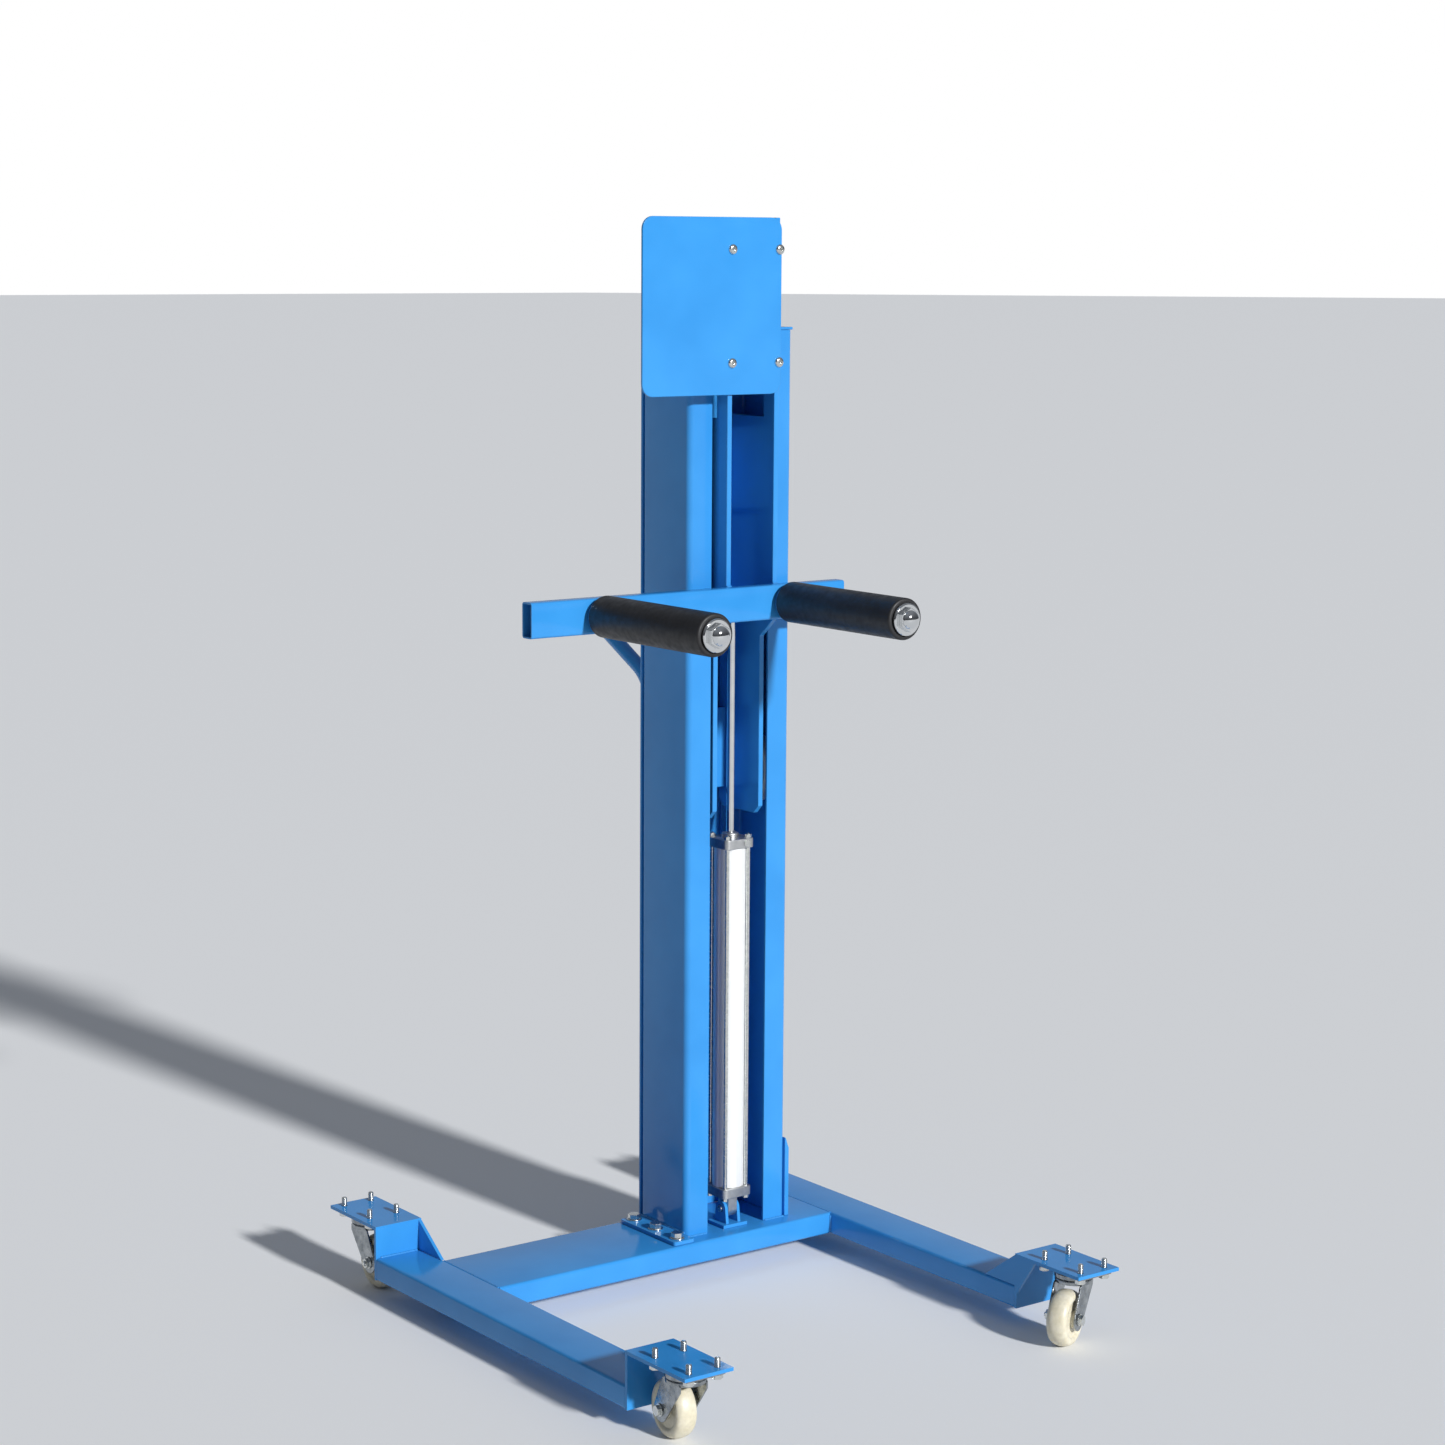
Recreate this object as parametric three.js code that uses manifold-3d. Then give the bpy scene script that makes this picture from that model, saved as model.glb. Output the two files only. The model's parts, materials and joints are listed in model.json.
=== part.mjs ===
// Wheel dolly with an air-cylinder lift, in millimetres, +Z up.
// The origin is on the floor under the middle of the base. -Y is the front, where the
// two support rollers point, and +Y is the back, where the push handle is.

import * as THREE from 'three';
import { mergeVertices } from 'three/addons/utils/BufferGeometryUtils.js';
import Module from 'manifold-3d';

const wasm = await Module();
wasm.setup();

// ---------------------------------------------------------------- driving dimensions

const gap = 0.3; // between pieces that touch
const slack = 0.6; // round a pin or bolt in its hole
const fine = 24; // sides of a large round piece
const coarse = 12; // sides of a small round piece

// base frame
const baseWidth = 750;
const railLength = 627;
const railWidth = 77;
const railHeight = 33;
const railWall = 3;
const groundClearance = 30;
const crossDepth = 150;
const crossFront = 102; // front face of the cross member, behind the middle of the base

// caster brackets
const bracketPlate = 5;
const bracketMargin = 4; // past the caster's plate
const gussetBack = 62;
const gussetFront = 42;
const gussetLap = 10; // how far the gusset reaches below the rail's top on the web

// casters
const wheelDiameter = 80;
const wheelWidth = 30;
const wheelCrown = 10;
const wheelDish = 3;
const rimInner = 48;
const rimOuter = 54;
const hubWidth = 34;
const hubInner = 24; // diameter of the hub's end face
const hubOuter = 26; // diameter of the hub's foot
const axleDiameter = 8;
const casterTrail = 30;
const casterPlateX = 64;
const casterPlateY = 92;
const casterPlateThick = 3;
const casterHolesX = 45;
const casterHolesY = 73;
const studDiameter = 8;
const studHeight = 13; // above the bracket's plate
const studHeadAcross = 13;
const studHeadHeight = 5.5;
const casterHeadroom = 30; // from the top of the wheel to the top of the bracket's plate
const swingClear = 11; // from the wheel's sweep to the rail's end
const raceDiameter = 56;
const raceHeight = 9;
const raceGap = 1; // between the race and the fork's top
const kingpinDiameter = 10;
const rivetHeadDiameter = 18;
const rivetHeadHeight = 5;
const rivetDrop = 8; // from the fork's top to the rivet's lower end
const forkInside = 37;
const forkWall = 2.5;
const forkCrown = 54; // outer diameter of the fork's round top
const forkTopThick = 5;
const forkTopLength = 36;
const cheekFront = 20;
const cheekBack = 25;
const cheekStep = 12; // from the fork's top to the start of the cheek's slanted front
const cheekEnd = 17; // radius of the cheek round the axle
const axleHeadAcross = 13;
const axleHeadHeight = 5.5;
const axleNutHeight = 6.5;
const axleOverhang = 10; // past the nut's inner face
const casterHeadings = { frontLeft: 84, frontRight: 205, rearLeft: 270, rearRight: 285 };

// mast
const mastX = 138;
const mastSetback = 28; // from the cross member's front face to the mast's
const mastWidth = 185;
const mastDepth = 120;
const mastTop = 1400;
const postLip = 40.5; // width of a post's flanges
const postWall = 4;
const backThick = 3.7;
const capThick = 4;
const portDiameter = 10;
const valvePortRise = 16; // from the valve's bottom to its port

// mast feet
const footWidth = 37;
const footFront = 24; // how far the left foot runs in front of the mast
const footThick = 6;
const footBoltSpacing = 55;
const footBoltFront = 8; // first bolt, in front of the mast's front face
const footBoltInset = 16;
const footBoltAcross = 17;
const footBoltHead = 8;
const footWasherDiameter = 22;
const footWasherThick = 1.5;
const sidePlateHeight = 122;
const sidePlateThick = 7.5;
const sidePlateChamfer = 17;

// push handle
const handleDiameter = 22;
const handleSpacing = 130;
const handleFoot = 790;
const handleKnee = 880;
const handleSlope = 28; // degrees above level
const handleReach = 160; // from the mast's back to the grip
const handleBend = 36;

// air cylinder
const cylinderBehind = 20; // axis, behind the mast's front face
const barrelDiameter = 47;
const boreDiameter = 40;
const barrelBottom = 125;
const barrelLength = 515;
const capEdge = 7; // from a tie rod's axis to the cap's edge
const cylinderCap = 14;
const tieRodDiameter = 6;
const tieRodClear = 0.75; // beside the barrel
const tieNutAcross = 9;
const tieNutHeight = 5.5;
const glandDiameter = 24;
const glandHeight = 8;
const rodDiameter = 12;
const pistonLength = 30;
const pistonRise = 310; // piston above the bottom of its bore, as it stands
const rodFlangeDiameter = 18;
const rodFlangeThick = 6;
const rodCollarDiameter = 20;
const rodCollarThick = 7;
const rodThreadEnd = 16; // past the lug
const rodNutAcross = 17;
const rodNutHeight = 9;
const clevisPinDiameter = 10;
const clevisPinDrop = 22; // below the lower cap
const clevisPinOverhang = 3;
const eyeWidth = 16;
const eyeRadius = 13;
const earThick = 5;
const earRadius = 12;
const earFoot = 30;
const clevisFootWidth = 44;
const clevisFootDepth = 40;

// carriage
const sideThick = 8;
const sideBottom = 687;
const sideTop = 1272;
const sideInset = 2; // front edge of a side plate, behind the mast's front face
const sideClear = 20; // from a side plate's back edge to the mast's outer back
const sideChamfer = 12;
const throatDrop = 30; // from the crossbar's bottom to where the neck runs into the body
const neckReach = 28; // front edge of the neck, in front of the mast's front face
const crossbarBottom = 982;
const crossbarHeight = 50;
const crossbarDepth = 24;
const crossbarWall = 2.5;
const crossbarLeft = 396; // left end, from the mast's middle
const crossbarLength = 548;
const tieThick = 6;
const tieHeight = 120;
const tieInset = 10; // from a side plate's back edge
const tieLow = 30; // above the side plates' bottom
const tieHigh = 20; // below the side plates' top
const lugThick = 12;
const lugShort = 14; // by how much the lug is shorter than the side plates are deep
const lugBottom = 985;
const panelLeft = 198;
const panelBottom = 1306;
const panelHeight = 250;
const panelThick = 4;
const panelCorner = 18;

// guide rollers of the carriage
const guidePlay = 1.5; // before and behind a roller, inside the post
const guideWidth = 26;
const guideChamfer = 2;
const guidePin = 20;
const guidePinEnd = 4; // past the roller
const guideOffset = 8; // from a side plate's face to its rollers
const guideSide = 8.5; // from a roller's outer face to the post's web
const guideLow = 748;
const guideHigh = 1213;

// support rollers
const rollerSpacing = 327;
const rollerMiddle = 115.5; // midway between the rollers, left of the mast's middle
const sleeveDiameter = 59;
const sleeveBore = 26;
const sleeveLength = 255;
const sleeveClear = 2; // from the collar to the sleeve
const sleeveChamfer = 3;
const shaftDiameter = 25;
const collarDiameter = 46;
const collarThick = 6;
const endDiameter = 46;
const endThick = 6;
const endChamfer = 2;
const domeRadius = 18;
const domeFlatness = 0.7; // height of the dome over its radius

// air valve
const valveWidth = 40;
const valveDepth = 30;
const valveHeight = 62;
const valveBottom = 900;
const airTubeDiameter = 8;
const airTubeBack = 13; // tube's axis, in front of the mast's back
const airTubeBend = 26;
const inletBody = 12;
const inletBarb = 10;
const inletLength = 30;
const fittingSize = 14;
const fittingDepth = 10;
const lowFittingDepth = 16;
const lowFittingHeight = 12;
const leverLength = 74;
const leverDiameter = 7;
const leverLean = 35; // degrees from upright, away from the mast
const leverHub = 10;
const leverBehind = 22; // its pivot, behind the valve's front
const leverBelow = 8; // its pivot, below the valve's top
const leverSlotDepth = 14;
const leverSlotFront = 12;
const knobDiameter = 22;

// ---------------------------------------------------------------- places worked out from them

const railTop = groundClearance + railHeight;
const plateTop = wheelDiameter + casterHeadroom;
const plateUnder = plateTop - bracketPlate;
const halfBase = baseWidth / 2;
const halfRail = railLength / 2;
const railX = halfBase - railWidth / 2;
const casterReach = casterTrail + wheelDiameter / 2 + swingClear; // rail's end to swivel axis
const bracketReach = casterReach + casterPlateY / 2 + bracketMargin;
const casterY = halfRail + casterReach;
const mastY = crossFront + mastSetback; // front face of the mast
const mastBack = mastY + mastDepth;
const mastFoot = railTop + gap;
const halfMast = mastWidth / 2;
const cylinderY = mastY + cylinderBehind;
const barrelTop = barrelBottom + barrelLength;
const tieRodSpacing = (barrelDiameter + tieRodDiameter + tieRodClear) / Math.SQRT2;
const capSize = tieRodSpacing + 2 * capEdge;
const clevisPinZ = barrelBottom - cylinderCap - clevisPinDrop;
const valvePortZ = valveBottom + valvePortRise;
const neckFront = mastY - neckReach;
const crossbarY = neckFront - crossbarDepth;
const rollerZ = crossbarBottom + crossbarHeight / 2;
const halfSides = mastWidth / 2 - postWall - guideSide - guideWidth - guideOffset;
const sideDepth = mastDepth - sideInset - sideClear;
const postDepth = mastDepth - backThick - gap;
const guideDiameter = postDepth - 2 * (postWall + guidePlay);
const guideY = mastY + postDepth / 2;
const casterTop = plateUnder - gap;
const raceTop = casterTop - casterPlateThick;
const forkTop = raceTop - raceHeight - raceGap;
const axleHeight = wheelDiameter / 2;

// ---------------------------------------------------------------- materials

const bluePaint = new THREE.MeshStandardMaterial({ color: 0x2f86d8, roughness: 0.3, metalness: 0.1 });
const zinc = new THREE.MeshStandardMaterial({ color: 0xb9bdc0, roughness: 0.35, metalness: 0.9 });
const chrome = new THREE.MeshStandardMaterial({ color: 0xd9dcdf, roughness: 0.12, metalness: 1 });
const aluminium = new THREE.MeshStandardMaterial({ color: 0xd6d8da, roughness: 0.35, metalness: 0.9 });
const nylon = new THREE.MeshStandardMaterial({ color: 0xe9e2cb, roughness: 0.45, metalness: 0 });
const rubber = new THREE.MeshStandardMaterial({ color: 0x18181a, roughness: 0.6, metalness: 0 });
const blackPlastic = new THREE.MeshStandardMaterial({ color: 0x1c1d1f, roughness: 0.45, metalness: 0 });
const airHose = new THREE.MeshStandardMaterial({ color: 0x1e5fa8, roughness: 0.4, metalness: 0 });

// ---------------------------------------------------------------- shaping helpers

function block(width, depth, height, x, y, z) {
  return new THREE.BoxGeometry(width, depth, height)
    .translate(x + width / 2, y + depth / 2, z + height / 2);
}

function outline(points) {
  return new THREE.Shape(points.map(([a, b]) => new THREE.Vector2(a, b)));
}

function addRoundHole(shape, a, b, radius) {
  const hole = new THREE.Path();
  hole.absarc(a, b, radius, 0, Math.PI * 2, true);
  shape.holes.push(hole);
}

function extrude(shape, depth, steps = 4) {
  return new THREE.ExtrudeGeometry(shape, { depth, bevelEnabled: false, curveSegments: steps });
}

// an XY outline, raised from z
function raised(shape, z, height, steps) {
  return extrude(shape, height, steps).translate(0, 0, z);
}

// a YZ outline, drawn out along X from x
function alongX(shape, x, length, steps) {
  const turn = new THREE.Matrix4().set(0, 0, 1, x, 1, 0, 0, 0, 0, 1, 0, 0, 0, 0, 0, 1);
  return extrude(shape, length, steps).applyMatrix4(turn);
}

// an outline in X and Z, drawn out along +Y from y
function alongY(shape, y, length, steps) {
  return extrude(shape, length, steps).rotateX(Math.PI / 2).translate(0, y + length, 0);
}

// a profile of [radius, height] points turned about Z
function turned(profile, sides = fine) {
  const points = profile.map(([radius, height]) => new THREE.Vector2(radius, height));
  return new THREE.LatheGeometry(points, sides).rotateX(Math.PI / 2);
}

function rod(radius, length, sides = coarse) {
  return turned([[0, 0], [radius, 0], [radius, length], [0, length]], sides);
}

function ring(inner, outer, length, sides = fine) {
  return turned([[inner, 0], [outer, 0], [outer, length], [inner, length], [inner, 0]], sides);
}

function hexPrism(across, length) {
  return rod(across / Math.sqrt(3), length, 6);
}

function toManifold(geometry) {
  const bare = geometry.clone();
  bare.deleteAttribute('normal');
  bare.deleteAttribute('uv');
  const merged = mergeVertices(bare, 1e-4);
  const triVerts = new Uint32Array(merged.index.array);
  const vertProperties = new Float32Array(merged.attributes.position.array);
  return new wasm.Manifold(new wasm.Mesh({ numProp: 3, vertProperties, triVerts }));
}

function toGeometry(solid) {
  const mesh = solid.getMesh();
  const geometry = new THREE.BufferGeometry();
  geometry.setAttribute('position', new THREE.BufferAttribute(new Float32Array(mesh.vertProperties), 3));
  geometry.setIndex(new THREE.BufferAttribute(new Uint32Array(mesh.triVerts), 1));
  geometry.computeVertexNormals();
  return geometry;
}

function join(...pieces) {
  return toGeometry(pieces.map(toManifold).reduce((whole, piece) => whole.add(piece)));
}

function cut(body, ...tools) {
  return toGeometry(tools.map(toManifold).reduce((left, tool) => left.subtract(tool), toManifold(body)));
}

const dolly = new THREE.Group();

function add(name, geometry, material, parent = dolly) {
  const mesh = new THREE.Mesh(geometry, material);
  mesh.name = name;
  parent.add(mesh);
  return mesh;
}

// ---------------------------------------------------------------- base frame

// a rectangular tube's section: width along the first axis, height along the second
function tubeSection(width, height, wall) {
  const shape = outline([[0, 0], [width, 0], [width, height], [0, height]]);
  const inside = new THREE.Path();
  inside.moveTo(wall, wall);
  inside.lineTo(wall, height - wall);
  inside.lineTo(width - wall, height - wall);
  inside.lineTo(width - wall, wall);
  inside.closePath();
  shape.holes.push(inside);
  return shape;
}

function addBase() {
  for (const [name, side] of [['left_rail', -1], ['right_rail', 1]]) {
    const rail = alongY(tubeSection(railWidth, railHeight, railWall), -halfRail, railLength);
    rail.translate(side * railX - railWidth / 2, 0, groundClearance);
    add(name, rail, bluePaint);
  }
  const clear = halfBase - railWidth - gap;
  const cross = alongX(tubeSection(crossDepth, railHeight, railWall), -clear, 2 * clear);
  cross.translate(0, crossFront, groundClearance);
  add('cross_member', cross, bluePaint);
}

// A stepped bracket welded to a rail's end: an upright web, a raised plate that the
// caster hangs from, and a gusset on the side that faces the middle of the dolly.
// It is drawn for the rear right corner, with the rail's end at y = 0, then mirrored.
function casterBracket() {
  const half = railWidth / 2;
  const plate = outline([[-half, gap], [half, gap], [half, bracketReach], [-half, bracketReach]]);
  for (const [x, y] of casterHoles(0, casterY - halfRail)) {
    addRoundHole(plate, x, y, studDiameter / 2 + slack);
  }
  const web = block(railWidth, bracketPlate, plateTop - groundClearance, -half, gap, groundClearance);
  const side = outline([
    [-gussetBack, railTop + gap], [gap, railTop + gap], [gap, railTop - gussetLap],
    [gap + bracketPlate, railTop - gussetLap], [gussetFront, plateUnder + 2], [gap, plateTop - 2],
  ]);
  return join(raised(plate, plateUnder, bracketPlate, 6), web, alongX(side, -half, bracketPlate));
}

function casterHoles(x, y) {
  const corners = [[-1, -1], [1, -1], [1, 1], [-1, 1]];
  return corners.map(([a, b]) => [x + a * casterHolesX / 2, y + b * casterHolesY / 2]);
}

// mirrors a geometry across the planes that the scale's minus signs name
function mirrored(geometry, x, y) {
  const solid = toManifold(geometry);
  return toGeometry(solid.scale([x, y, 1]));
}

const corners = [
  { name: 'front_left', x: -1, y: -1, heading: casterHeadings.frontLeft },
  { name: 'front_right', x: 1, y: -1, heading: casterHeadings.frontRight },
  { name: 'rear_left', x: -1, y: 1, heading: casterHeadings.rearLeft },
  { name: 'rear_right', x: 1, y: 1, heading: casterHeadings.rearRight },
];

function addBrackets() {
  for (const corner of corners) {
    const bracket = mirrored(casterBracket(), corner.x, corner.y);
    const mesh = add(`bracket_${corner.name}`, bracket, bluePaint);
    mesh.position.set(corner.x * railX, corner.y * halfRail, 0);
  }
}

// ---------------------------------------------------------------- casters

// top plate, upper ball race and the four bolts that go up through the bracket
function casterPlate() {
  const plate = outline([
    [-casterPlateX / 2, -casterPlateY / 2], [casterPlateX / 2, -casterPlateY / 2],
    [casterPlateX / 2, casterPlateY / 2], [-casterPlateX / 2, casterPlateY / 2],
  ]);
  const kingpinHole = kingpinDiameter / 2 + slack;
  addRoundHole(plate, 0, 0, kingpinHole);
  const race = ring(kingpinHole, raceDiameter / 2, raceHeight);
  const length = casterPlateThick + gap + bracketPlate + studHeight;
  const studs = casterHoles(0, 0).flatMap(([x, y]) => [
    rod(studDiameter / 2, length, 8).translate(x, y, raceTop),
    hexPrism(studHeadAcross, studHeadHeight + 1).translate(x, y, raceTop - studHeadHeight),
  ]);
  return join(
    raised(plate, raceTop, casterPlateThick, 6),
    race.translate(0, 0, raceTop - raceHeight),
    ...studs,
  );
}

// pressed fork: a round top under the race, two cheeks that slant back to the axle, and the
// rivet it swivels on
function casterFork() {
  const cheekOutside = forkInside / 2 + forkWall;
  const halfTop = forkTopLength / 2;
  const crown = rod(forkCrown / 2, forkTopThick, fine);
  const cheek = new THREE.Shape();
  cheek.moveTo(-halfTop, forkTop);
  cheek.lineTo(-cheekFront, forkTop - cheekStep);
  cheek.absarc(casterTrail, axleHeight, cheekEnd, Math.PI * 1.2, Math.PI * 2.1, false);
  cheek.lineTo(cheekBack, forkTop - cheekStep / 2);
  cheek.lineTo(halfTop, forkTop);
  cheek.closePath();
  const hole = axleDiameter / 2 + slack;
  addRoundHole(cheek, casterTrail, axleHeight, hole);
  const profile = alongY(cheek, 0, forkWall, 7);
  const left = profile.clone().translate(0, forkInside / 2, 0);
  const right = profile.translate(0, -cheekOutside, 0);
  const topUnder = forkTop - forkTopThick;
  const bridge = block(forkTopLength, 2 * cheekOutside, forkTopThick, -halfTop, -cheekOutside, topUnder);
  const rivetLength = casterTop - gap - forkTop + rivetDrop;
  const rivet = turned([
    [0, 0], [rivetHeadDiameter / 2, 0], [rivetHeadDiameter / 2, rivetHeadHeight],
    [kingpinDiameter / 2, rivetHeadHeight], [kingpinDiameter / 2, rivetLength], [0, rivetLength],
  ], coarse);
  rivet.translate(0, 0, forkTop - rivetDrop);
  return join(crown.translate(0, 0, topUnder), bridge, rivet, left, right);
}

// axle bolt with its head on one cheek and its nut on the other
function casterAxle() {
  const outside = forkInside / 2 + forkWall + gap;
  const shank = rod(axleDiameter / 2, 2 * outside + axleOverhang + 1).translate(0, 0, -outside - 1);
  const head = hexPrism(axleHeadAcross, axleHeadHeight).translate(0, 0, -outside - axleHeadHeight);
  const nut = hexPrism(axleHeadAcross, axleNutHeight).translate(0, 0, outside);
  return join(shank, head, nut).rotateX(Math.PI / 2).translate(casterTrail, 0, axleHeight);
}

// moulded wheel: rounded tread, a dished side and a wider hub
function casterWheel() {
  const bore = axleDiameter / 2 + slack;
  const radius = wheelDiameter / 2;
  const half = wheelWidth / 2;
  const dished = half - wheelDish;
  const hub = [[hubInner / 2, hubWidth / 2], [hubOuter / 2, dished]];
  const rim = [...hub, [rimInner / 2, dished], [rimOuter / 2, half]];
  const profile = [[bore, -hubWidth / 2], ...rim.map(([r, z]) => [r, -z])];
  const steps = 4;
  for (let i = 0; i <= steps; i += 1) {
    const t = Math.PI * (i / steps - 0.5);
    profile.push([radius - wheelCrown + wheelCrown * Math.cos(t), half * Math.sin(t)]);
  }
  profile.push(...rim.reverse(), [bore, hubWidth / 2], [bore, -hubWidth / 2]);
  return turned(profile).rotateX(Math.PI / 2).translate(casterTrail, 0, axleHeight);
}

function addCasters() {
  for (const corner of corners) {
    const fixed = new THREE.Group();
    fixed.position.set(corner.x * railX, corner.y * casterY, 0);
    dolly.add(fixed);
    add(`caster_plate_${corner.name}`, casterPlate(), zinc, fixed);
    const swivel = new THREE.Group();
    swivel.position.copy(fixed.position);
    swivel.rotation.z = THREE.MathUtils.degToRad(corner.heading);
    dolly.add(swivel);
    add(`caster_fork_${corner.name}`, casterFork(), zinc, swivel);
    add(`caster_axle_${corner.name}`, casterAxle(), zinc, swivel);
    add(`caster_wheel_${corner.name}`, casterWheel(), nylon, swivel);
  }
}

// ---------------------------------------------------------------- mast

function addMast() {
  const height = mastTop - capThick - gap - mastFoot;
  for (const [name, side] of [['mast_post_left', -1], ['mast_post_right', 1]]) {
    const channel = outline([
      [0, 0], [postLip, 0], [postLip, postWall], [postWall, postWall],
      [postWall, postDepth - postWall], [postLip, postDepth - postWall],
      [postLip, postDepth], [0, postDepth],
    ]);
    const post = mirrored(raised(channel, mastFoot, height), -side, 1);
    post.translate(mastX + side * halfMast, mastY, 0);
    add(name, post, bluePaint);
  }
  const backHeight = mastTop - mastFoot - 1;
  const backFront = mastBack - backThick;
  const back = block(mastWidth, backThick, backHeight, mastX - halfMast, backFront, mastFoot);
  const port = rod(portDiameter / 2 + slack, 2 * backThick).rotateX(Math.PI / 2);
  const cap = block(mastWidth, mastDepth, capThick, mastX - halfMast, mastY, mastTop - capThick);
  const whole = join(back, cap);
  add('mast_back', cut(whole, port.translate(mastX, mastBack + backThick / 2, valvePortZ)), bluePaint);
}

// left foot: a flat welded beside the mast, held to the cross member by three bolts
// right foot: an upright plate with a sloped top, welded to the mast's side and the base
function addFeet() {
  const footX = mastX - halfMast - gap - footWidth;
  const footY = mastY - footFront;
  const footLength = footFront + postDepth;
  const flat = block(footWidth, footLength, footThick, footX, footY, railTop + gap);
  const bolts = [0, 1, 2].map((i) => {
    const y = mastY - footBoltFront + i * footBoltSpacing;
    const head = hexPrism(footBoltAcross, footBoltHead).translate(0, 0, footWasherThick);
    const washer = rod(footWasherDiameter / 2, footWasherThick + 1).translate(0, 0, -0.5);
    return join(washer, head).translate(footX + footBoltInset, y, railTop + gap + footThick);
  });
  add('mast_foot_left', join(flat, ...bolts), bluePaint);
  const x = mastX + halfMast + gap;
  const top = railTop + sidePlateHeight;
  const plate = outline([
    [x, railTop + gap], [x + sidePlateThick, railTop + gap],
    [x + sidePlateThick, top - sidePlateChamfer], [x + 1.5, top], [x, top],
  ]);
  add('mast_foot_right', alongY(plate, mastY, mastDepth), bluePaint);
}

// one bent tube: up the mast's back, out to the rear on a slope, and across as the grip
function addHandle() {
  const radius = handleDiameter / 2;
  const legY = mastBack + radius + gap;
  const gripY = mastBack + handleReach;
  const slope = THREE.MathUtils.degToRad(handleSlope);
  const gripZ = handleKnee + (gripY - legY) * Math.tan(slope);
  const half = handleSpacing / 2;
  const corner = (x, y, z) => new THREE.Vector3(mastX + x, y, z);
  const corners3 = [
    corner(-half, legY, handleFoot), corner(-half, legY, handleKnee), corner(-half, gripY, gripZ),
    corner(half, gripY, gripZ), corner(half, legY, handleKnee), corner(half, legY, handleFoot),
  ];
  add('push_handle', bentTube(corners3, handleBend, radius, 10, 30), bluePaint);
}

// a round bar along straight runs, with a curve in place of each inner corner
function bentTube(points, bend, radius, sides, steps) {
  const path = new THREE.CurvePath();
  let from = points[0];
  for (let i = 1; i < points.length - 1; i += 1) {
    const before = points[i - 1].clone().sub(points[i]).setLength(bend);
    const after = points[i + 1].clone().sub(points[i]).setLength(bend);
    const start = points[i].clone().add(before);
    const end = points[i].clone().add(after);
    path.add(new THREE.LineCurve3(from, start));
    path.add(new THREE.QuadraticBezierCurve3(start, points[i], end));
    from = end;
  }
  path.add(new THREE.LineCurve3(from, points[points.length - 1]));
  const section = new THREE.Shape();
  section.absarc(0, 0, radius, 0, Math.PI * 2, false);
  const settings = { steps, extrudePath: path, curveSegments: sides / 2, bevelEnabled: false };
  return new THREE.ExtrudeGeometry(section, settings);
}

// ---------------------------------------------------------------- air cylinder

function addCylinder() {
  const capHalf = capSize / 2;
  const tie = tieRodSpacing / 2;
  const ties = [[-tie, -tie], [tie, -tie], [tie, tie], [-tie, tie]];
  const square = () => outline([
    [-capHalf, -capHalf], [capHalf, -capHalf], [capHalf, capHalf], [-capHalf, capHalf],
  ]);
  const place = (geometry) => geometry.translate(mastX, cylinderY, 0);

  // lower cap with the eye that sits on the clevis pin
  const low = square();
  ties.forEach(([x, y]) => addRoundHole(low, x, y, tieRodDiameter / 2 + slack));
  const capBottom = barrelBottom - gap - cylinderCap;
  const eyeOutline = new THREE.Shape();
  eyeOutline.absarc(0, clevisPinZ, eyeRadius, Math.PI, Math.PI * 2, false);
  eyeOutline.lineTo(eyeRadius, capBottom + 1);
  eyeOutline.lineTo(-eyeRadius, capBottom + 1);
  eyeOutline.closePath();
  addRoundHole(eyeOutline, 0, clevisPinZ, clevisPinDiameter / 2 + slack);
  const eye = alongX(eyeOutline, -eyeWidth / 2, eyeWidth, 8);
  add('cylinder_end_cap', place(join(raised(low, capBottom, cylinderCap, 8), eye)), aluminium);

  add('cylinder_barrel', place(ring(boreDiameter / 2, barrelDiameter / 2, barrelLength)
    .translate(0, 0, barrelBottom)), aluminium);

  // upper cap with the rod's gland and the four tie rods screwed into it
  const top = square();
  addRoundHole(top, 0, 0, rodDiameter / 2 + slack);
  const headBottom = barrelTop + gap;
  const gland = ring(rodDiameter / 2 + slack, glandDiameter / 2, glandHeight + 1, coarse);
  gland.translate(0, 0, headBottom + cylinderCap - 1);
  const rods = ties.map(([x, y]) => {
    const stem = rod(tieRodDiameter / 2, headBottom - capBottom + 2).translate(0, 0, capBottom - 1);
    const nut = hexPrism(tieNutAcross, tieNutHeight + 1).translate(0, 0, headBottom + cylinderCap - 1);
    const lowNut = hexPrism(tieNutAcross, tieNutHeight - gap).translate(0, 0, capBottom - tieNutHeight);
    return [stem, nut, lowNut].map((piece) => piece.translate(x, y, 0));
  }).flat();
  add('cylinder_head', place(join(raised(top, headBottom, cylinderCap, 8), gland, ...rods)), aluminium);

  // foot bracket with two ears, and the pin through them
  const half = eyeWidth / 2 + gap;
  const earShape = new THREE.Shape();
  earShape.moveTo(-earFoot / 2, railTop + gap);
  earShape.lineTo(earFoot / 2, railTop + gap);
  earShape.absarc(0, clevisPinZ, earRadius, 0, Math.PI, false);
  earShape.closePath();
  addRoundHole(earShape, 0, clevisPinZ, clevisPinDiameter / 2 + slack);
  const ears = [-half - earThick, half].map((x) => alongX(earShape, x, earThick, 8));
  const soleX = clevisFootWidth / 2;
  const soleY = clevisFootDepth / 2;
  const sole = block(clevisFootWidth, clevisFootDepth, earThick, -soleX, -soleY, railTop + gap);
  add('cylinder_foot', place(join(sole, ...ears)), bluePaint);
  const pinHalf = half + earThick + clevisPinOverhang;
  add('cylinder_pin', place(rod(clevisPinDiameter / 2, 2 * pinHalf).rotateY(Math.PI / 2)
    .translate(-pinHalf, 0, clevisPinZ)), zinc);
}

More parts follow.
